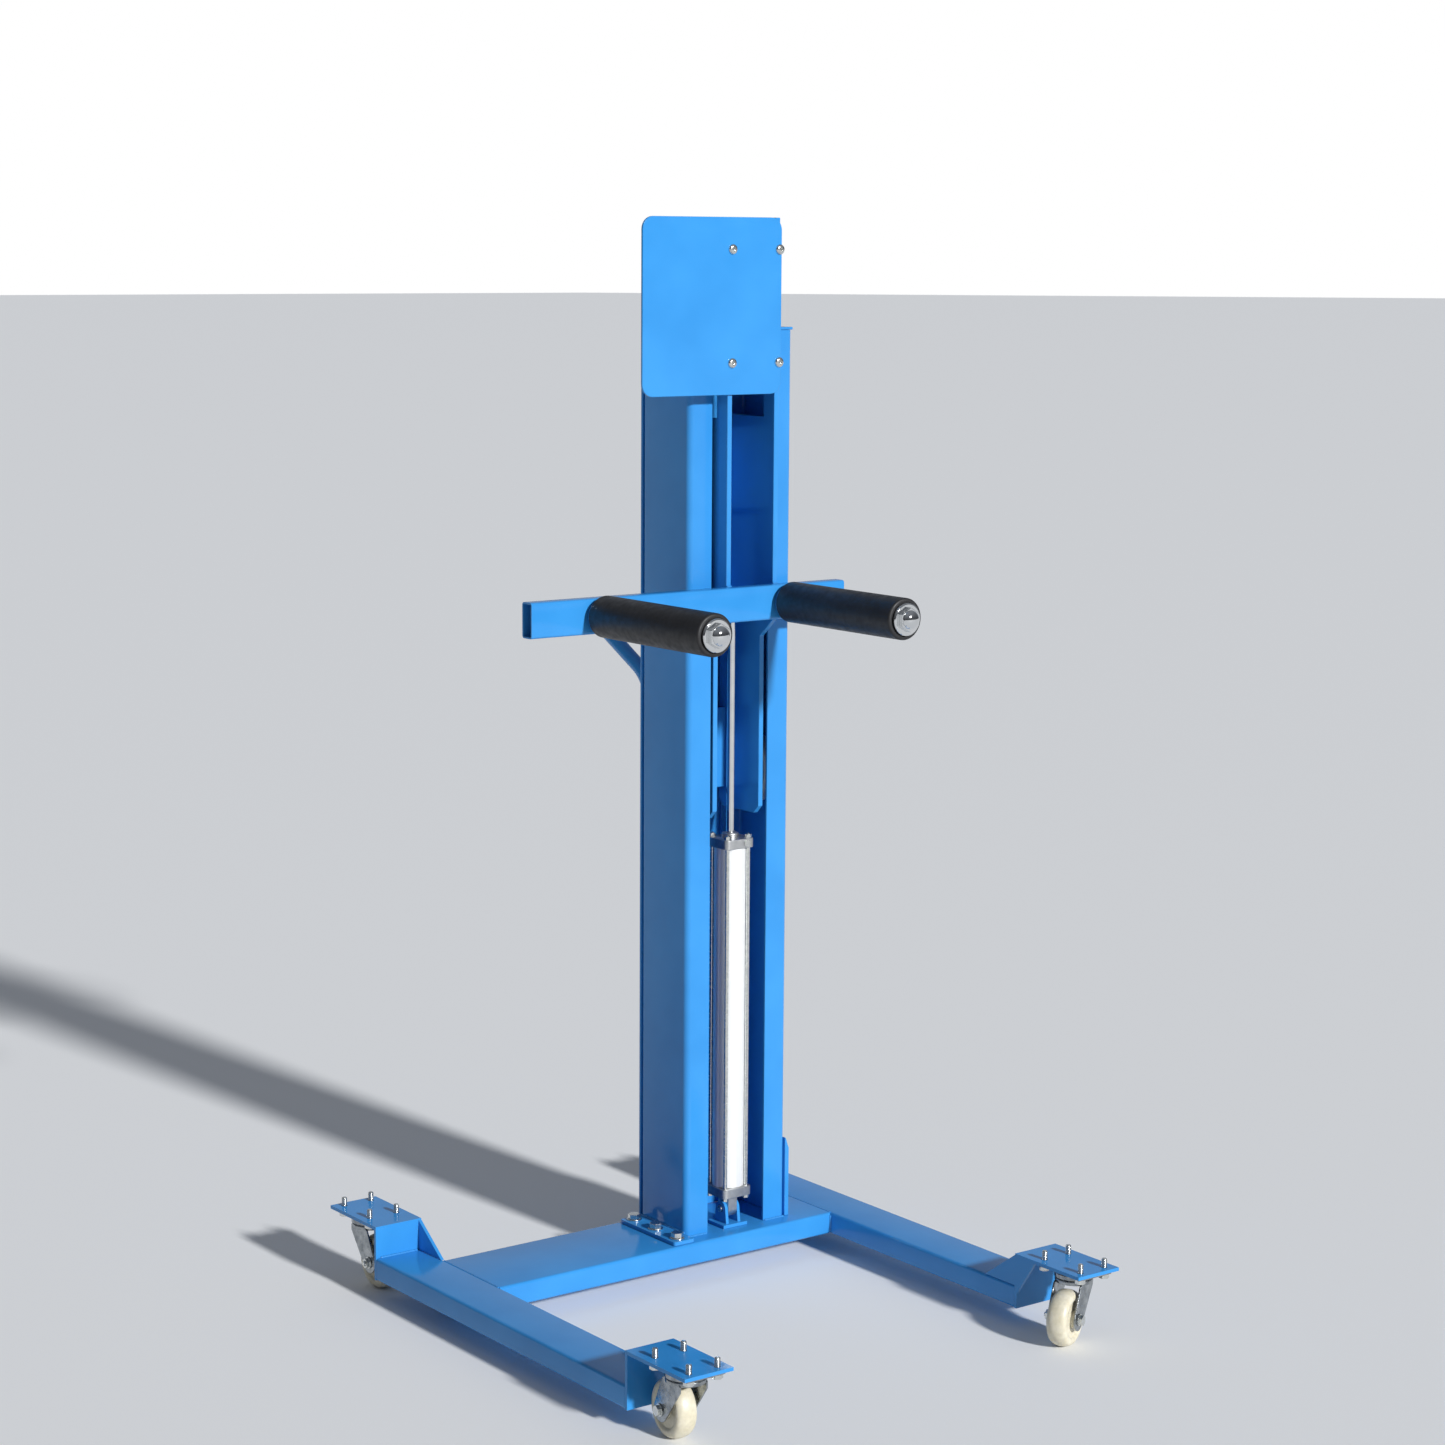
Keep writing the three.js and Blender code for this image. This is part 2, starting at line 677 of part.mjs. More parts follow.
// piston and rod; the rod's threaded end goes through the carriage's lug
function addPiston() {
  const pistonZ = barrelBottom + pistonRise;
  const stub = rodDiameter / 2 - 1.5;
  const shoulder = lugBottom - gap;
  const thread = rodDiameter / 2 - 1;
  const flange = rodFlangeDiameter / 2;
  const collar = rodCollarDiameter / 2;
  const pistonTop = pistonZ + pistonLength;
  const end = lugBottom + lugThick + rodThreadEnd;
  const place = (geometry) => geometry.translate(mastX, cylinderY, 0);
  const piston = ring(stub + gap, boreDiameter / 2 - gap, pistonLength).translate(0, 0, pistonZ);
  add('piston', place(piston), aluminium);
  add('piston_rod', place(turned([
    [0, pistonZ - rodFlangeThick], [flange, pistonZ - rodFlangeThick], [flange, pistonZ - gap],
    [stub, pistonZ - gap], [stub, pistonTop + gap], [rodDiameter / 2, pistonTop + gap],
    [rodDiameter / 2, shoulder - rodCollarThick], [collar, shoulder - rodCollarThick], [collar, shoulder],
    [thread, shoulder], [thread, end], [0, end],
  ])), chrome);
  const nutHole = rod(thread + gap, rodNutHeight + 2).translate(0, 0, -1);
  const nut = cut(hexPrism(rodNutAcross, rodNutHeight), nutHole);
  add('rod_nut', place(nut.translate(0, 0, lugBottom + lugThick + gap)), zinc);
}

// ---------------------------------------------------------------- carriage

// Side plate in the YZ plane. Its body runs inside the mast between the guide rollers,
// and its neck comes out through the mast's open front to carry the bar and the panel.
// The two stub pins for the guide rollers are welded on.
function addSidePlates() {
  const inner = mastY + sideInset;
  const back = inner + sideDepth;
  const neckBack = mastY - sideInset;
  const top = panelBottom + panelHeight;
  const plate = outline([
    [inner, sideBottom + sideChamfer], [inner + sideChamfer, sideBottom],
    [back - sideChamfer, sideBottom], [back, sideBottom + sideChamfer],
    [back, sideTop - sideChamfer], [back - sideChamfer, sideTop], [neckBack, sideTop], [neckBack, top],
    [neckFront, top], [neckFront, crossbarBottom - 4], [inner, crossbarBottom - throatDrop],
  ]);
  const pinLength = guideOffset + guideWidth + guidePinEnd;
  for (const [name, side] of [['carriage_side_left', -1], ['carriage_side_right', 1]]) {
    const pins = [guideLow, guideHigh].map((z) => {
      const pin = rod(guidePin / 2, pinLength).rotateY(Math.PI / 2);
      return pin.translate(halfSides - 1, guideY, z);
    });
    const whole = join(alongX(plate, halfSides - sideThick, sideThick), ...pins);
    add(name, mirrored(whole, side, 1).translate(mastX, 0, 0), bluePaint);
  }
}

function addCarriage() {
  addSidePlates();
  const width = 2 * (halfSides - sideThick - gap);
  const left = mastX - width / 2;
  const tieY = mastY + sideInset + sideDepth - tieInset - tieThick;
  const highZ = sideTop - tieHigh - tieHeight;
  add('carriage_tie_low', block(width, tieThick, tieHeight, left, tieY, sideBottom + tieLow), bluePaint);
  add('carriage_tie_high', block(width, tieThick, tieHeight, left, tieY, highZ), bluePaint);
  const lug = block(width, sideDepth - lugShort, lugThick, left, mastY + sideInset, lugBottom);
  const rodHole = rod(rodDiameter / 2 - 1 + slack, 2 * lugThick);
  rodHole.translate(mastX, cylinderY, lugBottom - lugThick / 2);
  add('carriage_lug', cut(lug, rodHole), bluePaint);
  const bar = alongX(tubeSection(crossbarDepth - gap, crossbarHeight, crossbarWall), 0, crossbarLength);
  add('crossbar', bar.translate(mastX - crossbarLeft, crossbarY, crossbarBottom), bluePaint);
  addPanel();
}

// plain plate behind the wheel, bolted on the necks of the side plates
function addPanel() {
  const left = mastX - panelLeft;
  const right = mastX + halfSides;
  const top = panelBottom + panelHeight;
  const r = panelCorner;
  const shape = new THREE.Shape();
  shape.moveTo(left, panelBottom + r);
  shape.absarc(left + r, panelBottom + r, r, Math.PI, Math.PI * 1.5, false);
  shape.absarc(right - r, panelBottom + r, r, Math.PI * 1.5, Math.PI * 2, false);
  shape.absarc(right - r, top - r, r, 0, Math.PI / 2, false);
  shape.absarc(left + r, top - r, r, Math.PI / 2, Math.PI, false);
  shape.closePath();
  add('wheel_rest_panel', alongY(shape, neckFront - gap - panelThick, panelThick, 4), bluePaint);
}

function addGuideRollers() {
  const bore = guidePin / 2 + slack;
  const radius = guideDiameter / 2;
  for (const [name, side, z] of [
    ['guide_roller_low_left', -1, guideLow], ['guide_roller_low_right', 1, guideLow],
    ['guide_roller_high_left', -1, guideHigh], ['guide_roller_high_right', 1, guideHigh],
  ]) {
    const roller = turned([
      [bore, 0], [radius - guideChamfer, 0], [radius, guideChamfer], [radius, guideWidth - guideChamfer],
      [radius - guideChamfer, guideWidth], [bore, guideWidth], [bore, 0],
    ]).rotateY(Math.PI / 2);
    const near = halfSides + guideOffset;
    const x = side < 0 ? mastX - near - guideWidth : mastX + near;
    add(name, roller.translate(x, guideY, z), nylon);
  }
}

// ---------------------------------------------------------------- support rollers

// Shaft with its welded collar, the rubber sleeve that turns on it, and the domed cap on
// the shaft's end. They lie along -Y from the crossbar's front face.
function addSupportRollers() {
  const toFront = (geometry, x) => geometry.rotateX(Math.PI / 2).translate(x, crossbarY - gap, rollerZ);
  const sleeveStart = collarThick + sleeveClear;
  const sleeveEnd = sleeveStart + sleeveLength;
  for (const [name, side] of [['left', -1], ['right', 1]]) {
    const x = mastX - rollerMiddle + (side * rollerSpacing) / 2;
    const shaft = turned([
      [0, 0], [collarDiameter / 2, 0], [collarDiameter / 2, collarThick],
      [shaftDiameter / 2, collarThick], [shaftDiameter / 2, sleeveEnd + 1], [0, sleeveEnd + 1],
    ]);
    add(`roller_shaft_${name}`, toFront(shaft, x), zinc);
    const outer = sleeveDiameter / 2;
    const sleeve = turned([
      [sleeveBore / 2, sleeveStart], [outer - sleeveChamfer, sleeveStart],
      [outer, sleeveStart + sleeveChamfer], [outer, sleeveEnd - sleeveChamfer],
      [outer - sleeveChamfer, sleeveEnd], [sleeveBore / 2, sleeveEnd], [sleeveBore / 2, sleeveStart],
    ]);
    add(`roller_sleeve_${name}`, toFront(sleeve, x), rubber);
    const face = sleeveEnd + 1 + gap;
    const cap = [[0, face], [endDiameter / 2, face], [endDiameter / 2, face + endThick - endChamfer]];
    cap.push([endDiameter / 2 - endChamfer, face + endThick]);
    const steps = 5;
    for (let i = 0; i <= steps; i += 1) {
      const angle = (Math.PI / 2) * (i / steps);
      const height = domeFlatness * domeRadius * Math.sin(angle);
      cap.push([domeRadius * Math.cos(angle), face + endThick + height]);
    }
    cap[cap.length - 1][0] = 0;
    add(`roller_cap_${name}`, toFront(turned(cap), x), chrome);
  }
}

// ---------------------------------------------------------------- air valve and its tube

function addAir() {
  const y = mastBack + gap;
  const body = block(valveWidth, valveDepth, valveHeight, mastX - valveWidth / 2, y, valveBottom);
  const slotWidth = leverDiameter + 3;
  const slotBottom = valveBottom + valveHeight - leverSlotDepth;
  const slotX = mastX - slotWidth / 2;
  const slot = block(slotWidth, valveDepth, valveHeight, slotX, y + leverSlotFront, slotBottom);
  add('air_valve', cut(body, slot), aluminium);
  const pivotY = y + leverBehind;
  const pivotZ = valveBottom + valveHeight - leverBelow;
  const hub = rod(leverHub / 2, slotWidth - 2 * gap).rotateY(Math.PI / 2);
  hub.translate(gap - slotWidth / 2, 0, 0);
  const stick = rod(leverDiameter / 2, leverLength);
  const knob = new THREE.SphereGeometry(knobDiameter / 2, 12, 8).translate(0, 0, leverLength);
  const lever = join(hub, stick, knob).rotateX(THREE.MathUtils.degToRad(-leverLean));
  add('valve_lever', lever.translate(mastX, pivotY, pivotZ), blackPlastic);
  const collar = inletBody / 2;
  const barb = inletBarb / 2;
  const nipple = turned([
    [0, 0], [collar, 0], [collar, inletLength / 3], [barb - 1, 0.4 * inletLength],
    [barb - 1, 0.8 * inletLength], [barb, 0.85 * inletLength], [barb, inletLength], [0, inletLength],
  ], coarse);
  add('air_inlet', nipple.rotateY(Math.PI / 2)
    .translate(mastX + valveWidth / 2 + gap, y + valveDepth / 2, valvePortZ), zinc);

  // elbow through the mast's back, and the elbow on the cylinder's lower cap
  const tubeY = mastBack - airTubeBack;
  const fittingX = mastX - fittingSize / 2;
  const highBottom = valvePortZ - fittingSize / 2;
  const stem = rod(portDiameter / 2, airTubeBack).rotateX(-Math.PI / 2).translate(mastX, tubeY, valvePortZ);
  const elbowY = tubeY - fittingDepth / 2;
  const elbow = block(fittingSize, fittingDepth, fittingSize, fittingX, elbowY, highBottom);
  add('air_elbow_high', join(stem, elbow), blackPlastic);
  const capBack = cylinderY + capSize / 2 + gap;
  const portZ = barrelBottom - gap - cylinderCap / 2;
  const lowBottom = portZ - lowFittingHeight / 2;
  const lowElbow = block(fittingSize, lowFittingDepth, lowFittingHeight, fittingX, capBack, lowBottom);
  add('air_elbow_low', lowElbow, blackPlastic);
  const start = highBottom - gap;
  const points = [
    new THREE.Vector3(mastX, tubeY, start),
    new THREE.Vector3(mastX, tubeY, portZ),
    new THREE.Vector3(mastX, capBack + lowFittingDepth + gap, portZ),
  ];
  add('air_tube', bentTube(points, airTubeBend, airTubeDiameter / 2, 8, 40), airHose);
}

addBase();
addBrackets();
addCasters();
addMast();
addFeet();
addHandle();
addCylinder();
addPiston();
addCarriage();
addGuideRollers();
addSupportRollers();
addAir();

export default dolly;
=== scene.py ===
import bpy, bmesh, json, math
from mathutils import Matrix, Vector


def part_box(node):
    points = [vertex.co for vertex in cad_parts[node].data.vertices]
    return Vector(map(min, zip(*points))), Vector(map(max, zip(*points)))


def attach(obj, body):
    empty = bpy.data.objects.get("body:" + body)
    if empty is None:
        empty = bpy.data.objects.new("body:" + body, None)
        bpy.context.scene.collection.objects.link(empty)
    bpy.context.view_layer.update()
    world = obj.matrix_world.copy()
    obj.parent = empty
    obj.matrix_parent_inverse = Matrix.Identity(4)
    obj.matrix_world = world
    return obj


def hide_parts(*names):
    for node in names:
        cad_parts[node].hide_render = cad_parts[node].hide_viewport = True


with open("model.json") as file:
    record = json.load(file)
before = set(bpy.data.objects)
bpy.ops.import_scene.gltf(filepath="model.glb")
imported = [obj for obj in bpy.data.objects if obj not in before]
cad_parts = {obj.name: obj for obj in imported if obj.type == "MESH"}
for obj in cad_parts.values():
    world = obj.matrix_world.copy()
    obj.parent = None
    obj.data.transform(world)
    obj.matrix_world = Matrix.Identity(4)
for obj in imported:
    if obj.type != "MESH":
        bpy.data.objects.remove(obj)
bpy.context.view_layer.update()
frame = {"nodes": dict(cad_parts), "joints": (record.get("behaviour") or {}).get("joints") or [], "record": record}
record = frame["record"]
mm = 0.001
scene = bpy.context.scene
joints = {joint["name"]: joint for joint in frame["joints"]}
bodyOf = {node: body for body, nodes in record["behaviour"]["bodies"].items() for node in nodes}
slotOf = {part["node"]: part["material_slot"] for part in record["subparts"]}


# camera: standing in front and to the left, at head height
view = {"place": (-2.5973, -3.4816, 1.5162), "turn": 36.83, "down": 8.65, "lean": 0.38, "lens": 78.13}


def addCamera():
    camera = bpy.data.objects.new("camera", bpy.data.cameras.new("camera"))
    camera.data.lens = view["lens"]
    camera.data.sensor_width = 36
    camera.data.clip_end = 100
    aim = Matrix.Rotation(math.radians(-view["turn"]), 4, "Z")
    aim = aim @ Matrix.Rotation(math.radians(90 - view["down"]), 4, "X")
    aim = aim @ Matrix.Rotation(math.radians(view["lean"]), 4, "Z")
    camera.matrix_world = Matrix.Translation(view["place"]) @ aim
    scene.collection.objects.link(camera)
    scene.camera = camera


addCamera()
print("camera placed")


# ---- colours and nodes

def hexColour(code):
    parts = [int(code[i:i + 2], 16) / 255 for i in (1, 3, 5)]
    linear = [c / 12.92 if c <= 0.04045 else ((c + 0.055) / 1.055) ** 2.4 for c in parts]
    return (*linear, 1)


def addNode(tree, kind, inputs=None, **settings):
    made = tree.nodes.new(kind)
    for name, value in settings.items():
        setattr(made, name, value)
    for name, value in (inputs or {}).items():
        if isinstance(value, bpy.types.NodeSocket):
            tree.links.new(value, made.inputs[name])
        else:
            made.inputs[name].default_value = value
    return made


def newMaterial(name):
    material = bpy.data.materials.new(name)
    material.use_nodes = True
    tree = material.node_tree
    tree.nodes.clear()
    place = addNode(tree, "ShaderNodeTexCoord").outputs["Object"]
    shader = addNode(tree, "ShaderNodeBsdfPrincipled")
    addNode(tree, "ShaderNodeOutputMaterial", {"Surface": shader.outputs["BSDF"]})
    return material, tree, place, shader


def noise(tree, place, size, detail=2):
    # size is the width of one blotch, in millimetres
    made = addNode(tree, "ShaderNodeTexNoise", {"Vector": place, "Scale": 1 / (size * mm), "Detail": detail})
    return made.outputs["Fac"]


def mapped(tree, value, start, end, low, high):
    made = addNode(tree, "ShaderNodeMapRange", {
        "Value": value, "From Min": start, "From Max": end, "To Min": low, "To Max": high})
    return made.outputs["Result"]


def spread(tree, value, low, high):
    # most of a noise lies between 0.3 and 0.7
    return mapped(tree, value, 0.3, 0.7, low, high)


def blend(tree, factor, first, second):
    # the first colour is hex text or another node's output; sockets 6, 7 and 2 carry colours
    first = hexColour(first) if isinstance(first, str) else first
    made = addNode(tree, "ShaderNodeMix", {"Factor": factor, 6: first, 7: hexColour(second)}, data_type="RGBA")
    return made.outputs[2]


def tint(tree, shader, value, first, second):
    # base colour that drifts from one to the other
    tree.links.new(blend(tree, spread(tree, value, 0, 1), first, second), shader.inputs["Base Color"])


def dull(tree, shader, value, low, high):
    tree.links.new(spread(tree, value, low, high), shader.inputs["Roughness"])


def bump(tree, shader, height, depth):
    # depth is in millimetres
    made = addNode(tree, "ShaderNodeBump", {"Height": height, "Distance": depth * mm, "Strength": 1})
    tree.links.new(made.outputs["Normal"], shader.inputs["Normal"])


def edgeWear(tree, radius, low, high):
    # pale on edges, where a bevelled normal and the flat one part
    soft = addNode(tree, "ShaderNodeBevel", {"Radius": radius}, samples=4)
    flat = addNode(tree, "ShaderNodeNewGeometry").outputs["Normal"]
    dot = addNode(tree, "ShaderNodeVectorMath", {0: soft.outputs["Normal"], 1: flat}, operation="DOT_PRODUCT")
    return mapped(tree, dot.outputs["Value"], low, high, 1.0, 0.0)


# ---- finishes

enamel = {"light": "#3A92D8", "dark": "#338AD0", "worn": "#5FA9E0", "cloud": 90, "dust": 14,
          "wearWidth": 1.2, "patch": 7, "peel": 2.2, "peelDepth": 0.035}


def blueEnamel():
    # alkyd enamel sprayed on steel: high gloss, with a faint orange peel and slight clouding
    material, tree, place, shader = newMaterial("blue_enamel_sprayed")
    cloud = spread(tree, noise(tree, place, enamel["cloud"]), 0, 1)
    colour = blend(tree, cloud, enamel["light"], enamel["dark"])
    rub = edgeWear(tree, enamel["wearWidth"] * mm, 0.86, 0.97)
    patch = spread(tree, noise(tree, place, enamel["patch"], 4), 0, 0.5)
    worn = addNode(tree, "ShaderNodeMath", {0: rub, 1: patch}, operation="MULTIPLY").outputs[0]
    tree.links.new(blend(tree, worn, colour, enamel["worn"]), shader.inputs["Base Color"])
    dull(tree, shader, noise(tree, place, enamel["dust"], 5), 0.1, 0.19)
    shader.inputs["Specular IOR Level"].default_value = 0.34
    bump(tree, shader, noise(tree, place, enamel["peel"], 1), enamel["peelDepth"])
    return material


def zincPlate():
    # bright zinc plate on pressed steel: bluish grey, with cloudy spangle and fine scratches
    material, tree, place, shader = newMaterial("zinc_plate_bright")
    tint(tree, shader, noise(tree, place, 11, 3), "#7F858A", "#B4B8BA")
    shader.inputs["Metallic"].default_value = 1
    dull(tree, shader, noise(tree, place, 5, 6), 0.12, 0.34)
    bump(tree, shader, noise(tree, place, 6, 3), 0.22)
    return material


def zincBolt():
    # clear passivated bolts and nuts: brighter and smoother than the pressings
    material, tree, place, shader = newMaterial("zinc_bolt_passivated")
    tint(tree, shader, noise(tree, place, 6, 2), "#D0D3D2", "#E6E7E2")
    shader.inputs["Metallic"].default_value = 1
    dull(tree, shader, noise(tree, place, 3, 4), 0.18, 0.3)
    bump(tree, shader, noise(tree, place, 0.8, 2), 0.01)
    return material


def hardChrome():
    # ground and polished chrome on steel: near mirror, with a trace of hairline wear
    material, tree, place, shader = newMaterial("chrome_polished")
    shader.inputs["Metallic"].default_value = 1
    tint(tree, shader, noise(tree, place, 20, 2), "#DCDEDF", "#E9EAEA")
    dull(tree, shader, noise(tree, place, 4, 5), 0.05, 0.13)
    bump(tree, shader, noise(tree, place, 1.5, 2), 0.004)
    return material


def stretched(tree, place, scale):
    return addNode(tree, "ShaderNodeMapping", {"Vector": place, "Scale": scale}).outputs["Vector"]


def anodisedTube():
    # extruded and clear anodised aluminium: satin, with fine die lines along its length
    material, tree, place, shader = newMaterial("aluminium_extruded_anodised")
    lines = noise(tree, stretched(tree, place, (1, 1, 0.004)), 0.9, 2)
    tint(tree, shader, lines, "#ECEDEE", "#F7F8F8")
    # the etched oxide scatters much of the light that bare metal would mirror
    shader.inputs["Metallic"].default_value = 0.4
    dull(tree, shader, noise(tree, place, 15, 3), 0.38, 0.46)
    bump(tree, shader, lines, 0.006)
    return material


def castAluminium():
    # die-cast aluminium, bead blasted: pale grey and softly grained
    material, tree, place, shader = newMaterial("aluminium_die_cast")
    tint(tree, shader, noise(tree, place, 8, 3), "#B4B6B8", "#C6C7C8")
    shader.inputs["Metallic"].default_value = 1
    dull(tree, shader, noise(tree, place, 2, 4), 0.36, 0.5)
    bump(tree, shader, noise(tree, place, 0.6, 3), 0.02)
    return material


def mouldedNylon():
    # cast nylon, off-white: waxy, with a little light passing under the skin and floor dirt
    material, tree, place, shader = newMaterial("nylon_moulded_cream")
    cloud = spread(tree, noise(tree, place, 18, 4), 0, 1)
    colour = blend(tree, cloud, "#D8D0B6", "#E6E0CC")
    dirt = spread(tree, noise(tree, place, 5, 6), 0, 0.22)
    tree.links.new(blend(tree, dirt, colour, "#8F8770"), shader.inputs["Base Color"])
    dull(tree, shader, noise(tree, place, 6, 4), 0.3, 0.48)
    shader.inputs["IOR"].default_value = 1.53
    shader.inputs["Subsurface Weight"].default_value = 0.12
    shader.inputs["Subsurface Radius"].default_value = (0.003, 0.0025, 0.0015)
    bump(tree, shader, noise(tree, place, 1.5, 3), 0.02)
    return material


def guideNylon():
    # machined white nylon for the guide rollers: satin, with faint turning marks
    material, tree, place, shader = newMaterial("nylon_machined_white")
    lines = noise(tree, stretched(tree, place, (1, 0.02, 0.02)), 0.7, 1)
    tint(tree, shader, lines, "#DAD8D0", "#E8E6DF")
    shader.inputs["Roughness"].default_value = 0.42
    shader.inputs["IOR"].default_value = 1.53
    bump(tree, shader, lines, 0.01)
    return material


def mouldedRubber():
    # moulded black rubber: matt and dusty, with a fine grain and paler rub marks
    material, tree, place, shader = newMaterial("rubber_moulded_black")
    mark = noise(tree, stretched(tree, place, (1, 0.25, 1)), 14, 5)
    tint(tree, shader, mark, "#141416", "#222225")
    dull(tree, shader, noise(tree, place, 9, 4), 0.42, 0.62)
    shader.inputs["IOR"].default_value = 1.52
    bump(tree, shader, noise(tree, place, 0.9, 3), 0.05)
    return material


def blackAcetal():
    # injection moulded acetal: black, satin, with an even spark-eroded texture
    material, tree, place, shader = newMaterial("acetal_moulded_black")
    tint(tree, shader, noise(tree, place, 9, 2), "#17181A", "#202124")
    dull(tree, shader, noise(tree, place, 3, 3), 0.32, 0.42)
    bump(tree, shader, noise(tree, place, 0.5, 2), 0.02)
    return material


def airTubing():
    # extruded polyurethane air tube: blue, smooth and slightly see-through
    material, tree, place, shader = newMaterial("polyurethane_tube_blue")
    tint(tree, shader, noise(tree, place, 30, 2), "#1B5FB4", "#2269C2")
    shader.inputs["Roughness"].default_value = 0.22
    shader.inputs["Subsurface Weight"].default_value = 0.1
    shader.inputs["Subsurface Radius"].default_value = (0.001, 0.001, 0.002)
    bump(tree, shader, noise(tree, place, 2, 1), 0.01)
    return material


def weldedEnamel():
    # the same enamel over a weld: rippled, and rougher between the ripples
    material, tree, place, shader = newMaterial("blue_enamel_on_weld")
    tint(tree, shader, noise(tree, place, 4, 3), "#2E7FC4", "#3A90D4")
    dull(tree, shader, noise(tree, place, 2, 3), 0.22, 0.38)
    bump(tree, shader, noise(tree, place, 1.6, 3), 0.12)
    return material


blue = blueEnamel()
weldBlue = weldedEnamel()
zinc = zincPlate()
bolt = zincBolt()
chrome = hardChrome()
anodised = anodisedTube()
cast = castAluminium()
nylon = mouldedNylon()
guideWhite = guideNylon()
rubber = mouldedRubber()
acetal = blackAcetal()
tubing = airTubing()
print("finishes made")


# ---- shaping

mergeWithin = 1e-6
flatWithin = math.radians(1)


def fresh(bm, before, matrix=None):
    # what a step has just added, turned and moved into its place
    added = [vertex for vertex in bm.verts if vertex not in before]
    if matrix is not None:
        bmesh.ops.transform(bm, matrix=matrix, verts=added)
    return added


def addBox(bm, low, high):
    low = Vector(low)
    high = Vector(high)
    size = Matrix.Diagonal((*(high - low), 1))
    made = bmesh.ops.create_cube(bm, size=1, matrix=Matrix.Translation((low + high) / 2) @ size)
    return made["verts"]


def roundEdges(bm, edges, radius, segments):
    bmesh.ops.bevel(bm, geom=edges, offset=radius, offset_type="OFFSET", affect="EDGES",
                    segments=segments, profile=0.5, material=-1, clamp_overlap=True)


def edgesAlong(verts, axis):
    edges = {edge for vertex in verts for edge in vertex.link_edges}
    kept = []
    for edge in edges:
        way = (edge.verts[1].co - edge.verts[0].co).normalized()
        if abs(way[axis]) > 0.999:
            kept.append(edge)
    return kept


def skinInto(bm, part):
    # the convex skin round a few simple shapes, added to another mesh
    bmesh.ops.delete(part, geom=part.edges[:], context="EDGES_FACES")
    bmesh.ops.convex_hull(part, input=part.verts)
    loose = [vertex for vertex in part.verts if not vertex.link_faces]
    bmesh.ops.delete(part, geom=loose, context="VERTS")
    bmesh.ops.dissolve_limit(part, angle_limit=flatWithin, verts=part.verts, edges=part.edges)
    mesh = bpy.data.meshes.new("skin")
    part.to_mesh(mesh)
    part.free()
    bm.from_mesh(mesh)
    bpy.data.meshes.remove(mesh)


def standing(at, way):
    # turns local +Z to a direction and moves the origin to a point
    return Matrix.Translation(at) @ Vector(way).to_track_quat("Z", "Y").to_matrix().to_4x4()


def disc(radius, low, high):
    # profile of a solid round, for addTurned
    return [(0, low), (radius, low), (radius, high), (0, high)]


def ring(inner, outer, low, high):
    # profile of a round with a hole
    return [(inner, low), (outer, low), (outer, high), (inner, high), (inner, low)]


def addTurned(bm, profile, matrix, steps=48):
    # a profile of (radius, height) in millimetres, spun round local Z
    before = set(bm.verts)
    points = [bm.verts.new((radius * mm, 0, height * mm)) for radius, height in profile]
    edges = [bm.edges.new(pair) for pair in zip(points, points[1:])]
    bmesh.ops.spin(bm, geom=points + edges, cent=(0, 0, 0), axis=(0, 0, 1), angle=math.tau,
                   steps=steps, use_merge=True)
    bmesh.ops.remove_doubles(bm, verts=fresh(bm, before), dist=mergeWithin)
    fresh(bm, before, matrix)


def addHex(bm, across, height, matrix):
    # a hexagon standing on local Z = 0
    before = set(bm.verts)
    radius = across / math.sqrt(3) * mm
    lift = Matrix.Translation((0, 0, height * mm / 2))
    bmesh.ops.create_cone(bm, cap_ends=True, segments=6, radius1=radius, radius2=radius,
                          depth=height * mm, matrix=lift)
    fresh(bm, before, matrix)


thread = {"depth": 0.6, "lead": 0.4, "chamfer": 1.1, "rise": 0.4, "crest": 0.55}


def threadProfile(radius, start, end, pitch=1.25):
    # round grooves in place of a true helix
    root = radius - thread["depth"]
    points = [(0, start), (root, start)]
    turns = int((end - start - 1) / pitch)
    for i in range(turns):
        height = start + thread["lead"] + i * pitch
        points += [(root, height), (radius, height + pitch * thread["rise"]),
                   (radius, height + pitch * thread["crest"])]
    return points + [(root, start + thread["lead"] + turns * pitch), (radius - thread["chamfer"], end), (0, end)]


def arc(radius, height, size, start, end, steps=6):
    # profile points on a quarter or half round; angles in degrees from the radial direction
    points = []
    for i in range(steps + 1):
        angle = math.radians(start + (end - start) * i / steps)
        points.append((radius + size * math.cos(angle), height + size * math.sin(angle)))
    return points


def softenEdges(piece, width, segments, sharp, harden=True):
    soft = piece.modifiers.new("edges", "BEVEL")
    soft.width = width * mm
    soft.segments = segments
    soft.limit_method = "ANGLE"
    soft.angle_limit = math.radians(sharp)
    soft.harden_normals = harden


def thicken(piece, wall, offset):
    # walls of folded or rolled sheet, from a mesh with no thickness
    skin = piece.modifiers.new("wall", "SOLIDIFY")
    skin.thickness = wall * mm
    skin.offset = offset


def finishPiece(name, bm, material, body, slot, replaced=(), edge=0, segments=2, sharp=32, flat=False):
    # edge is the width of the rounding in millimetres, sharp the least angle between faces that gets it
    bmesh.ops.recalc_face_normals(bm, faces=bm.faces)
    mesh = bpy.data.meshes.new(name)
    bm.to_mesh(mesh)
    bm.free()
    mesh.materials.append(material)
    piece = bpy.data.objects.new(name, mesh)
    scene.collection.objects.link(piece)
    if flat:
        mesh.shade_flat()
    else:
        mesh.shade_smooth()
    if edge:
        softenEdges(piece, edge, segments, sharp, not flat)
    elif not flat:
        mesh.set_sharp_from_angle(angle=math.radians(sharp))
    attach(piece, body)
    if replaced:
        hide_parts(*replaced)
    return piece


def standsFor(node):
    # the body, the slot and the CAD node of a shape made in that node's place
    return bodyOf[node], slotOf[node], [node]


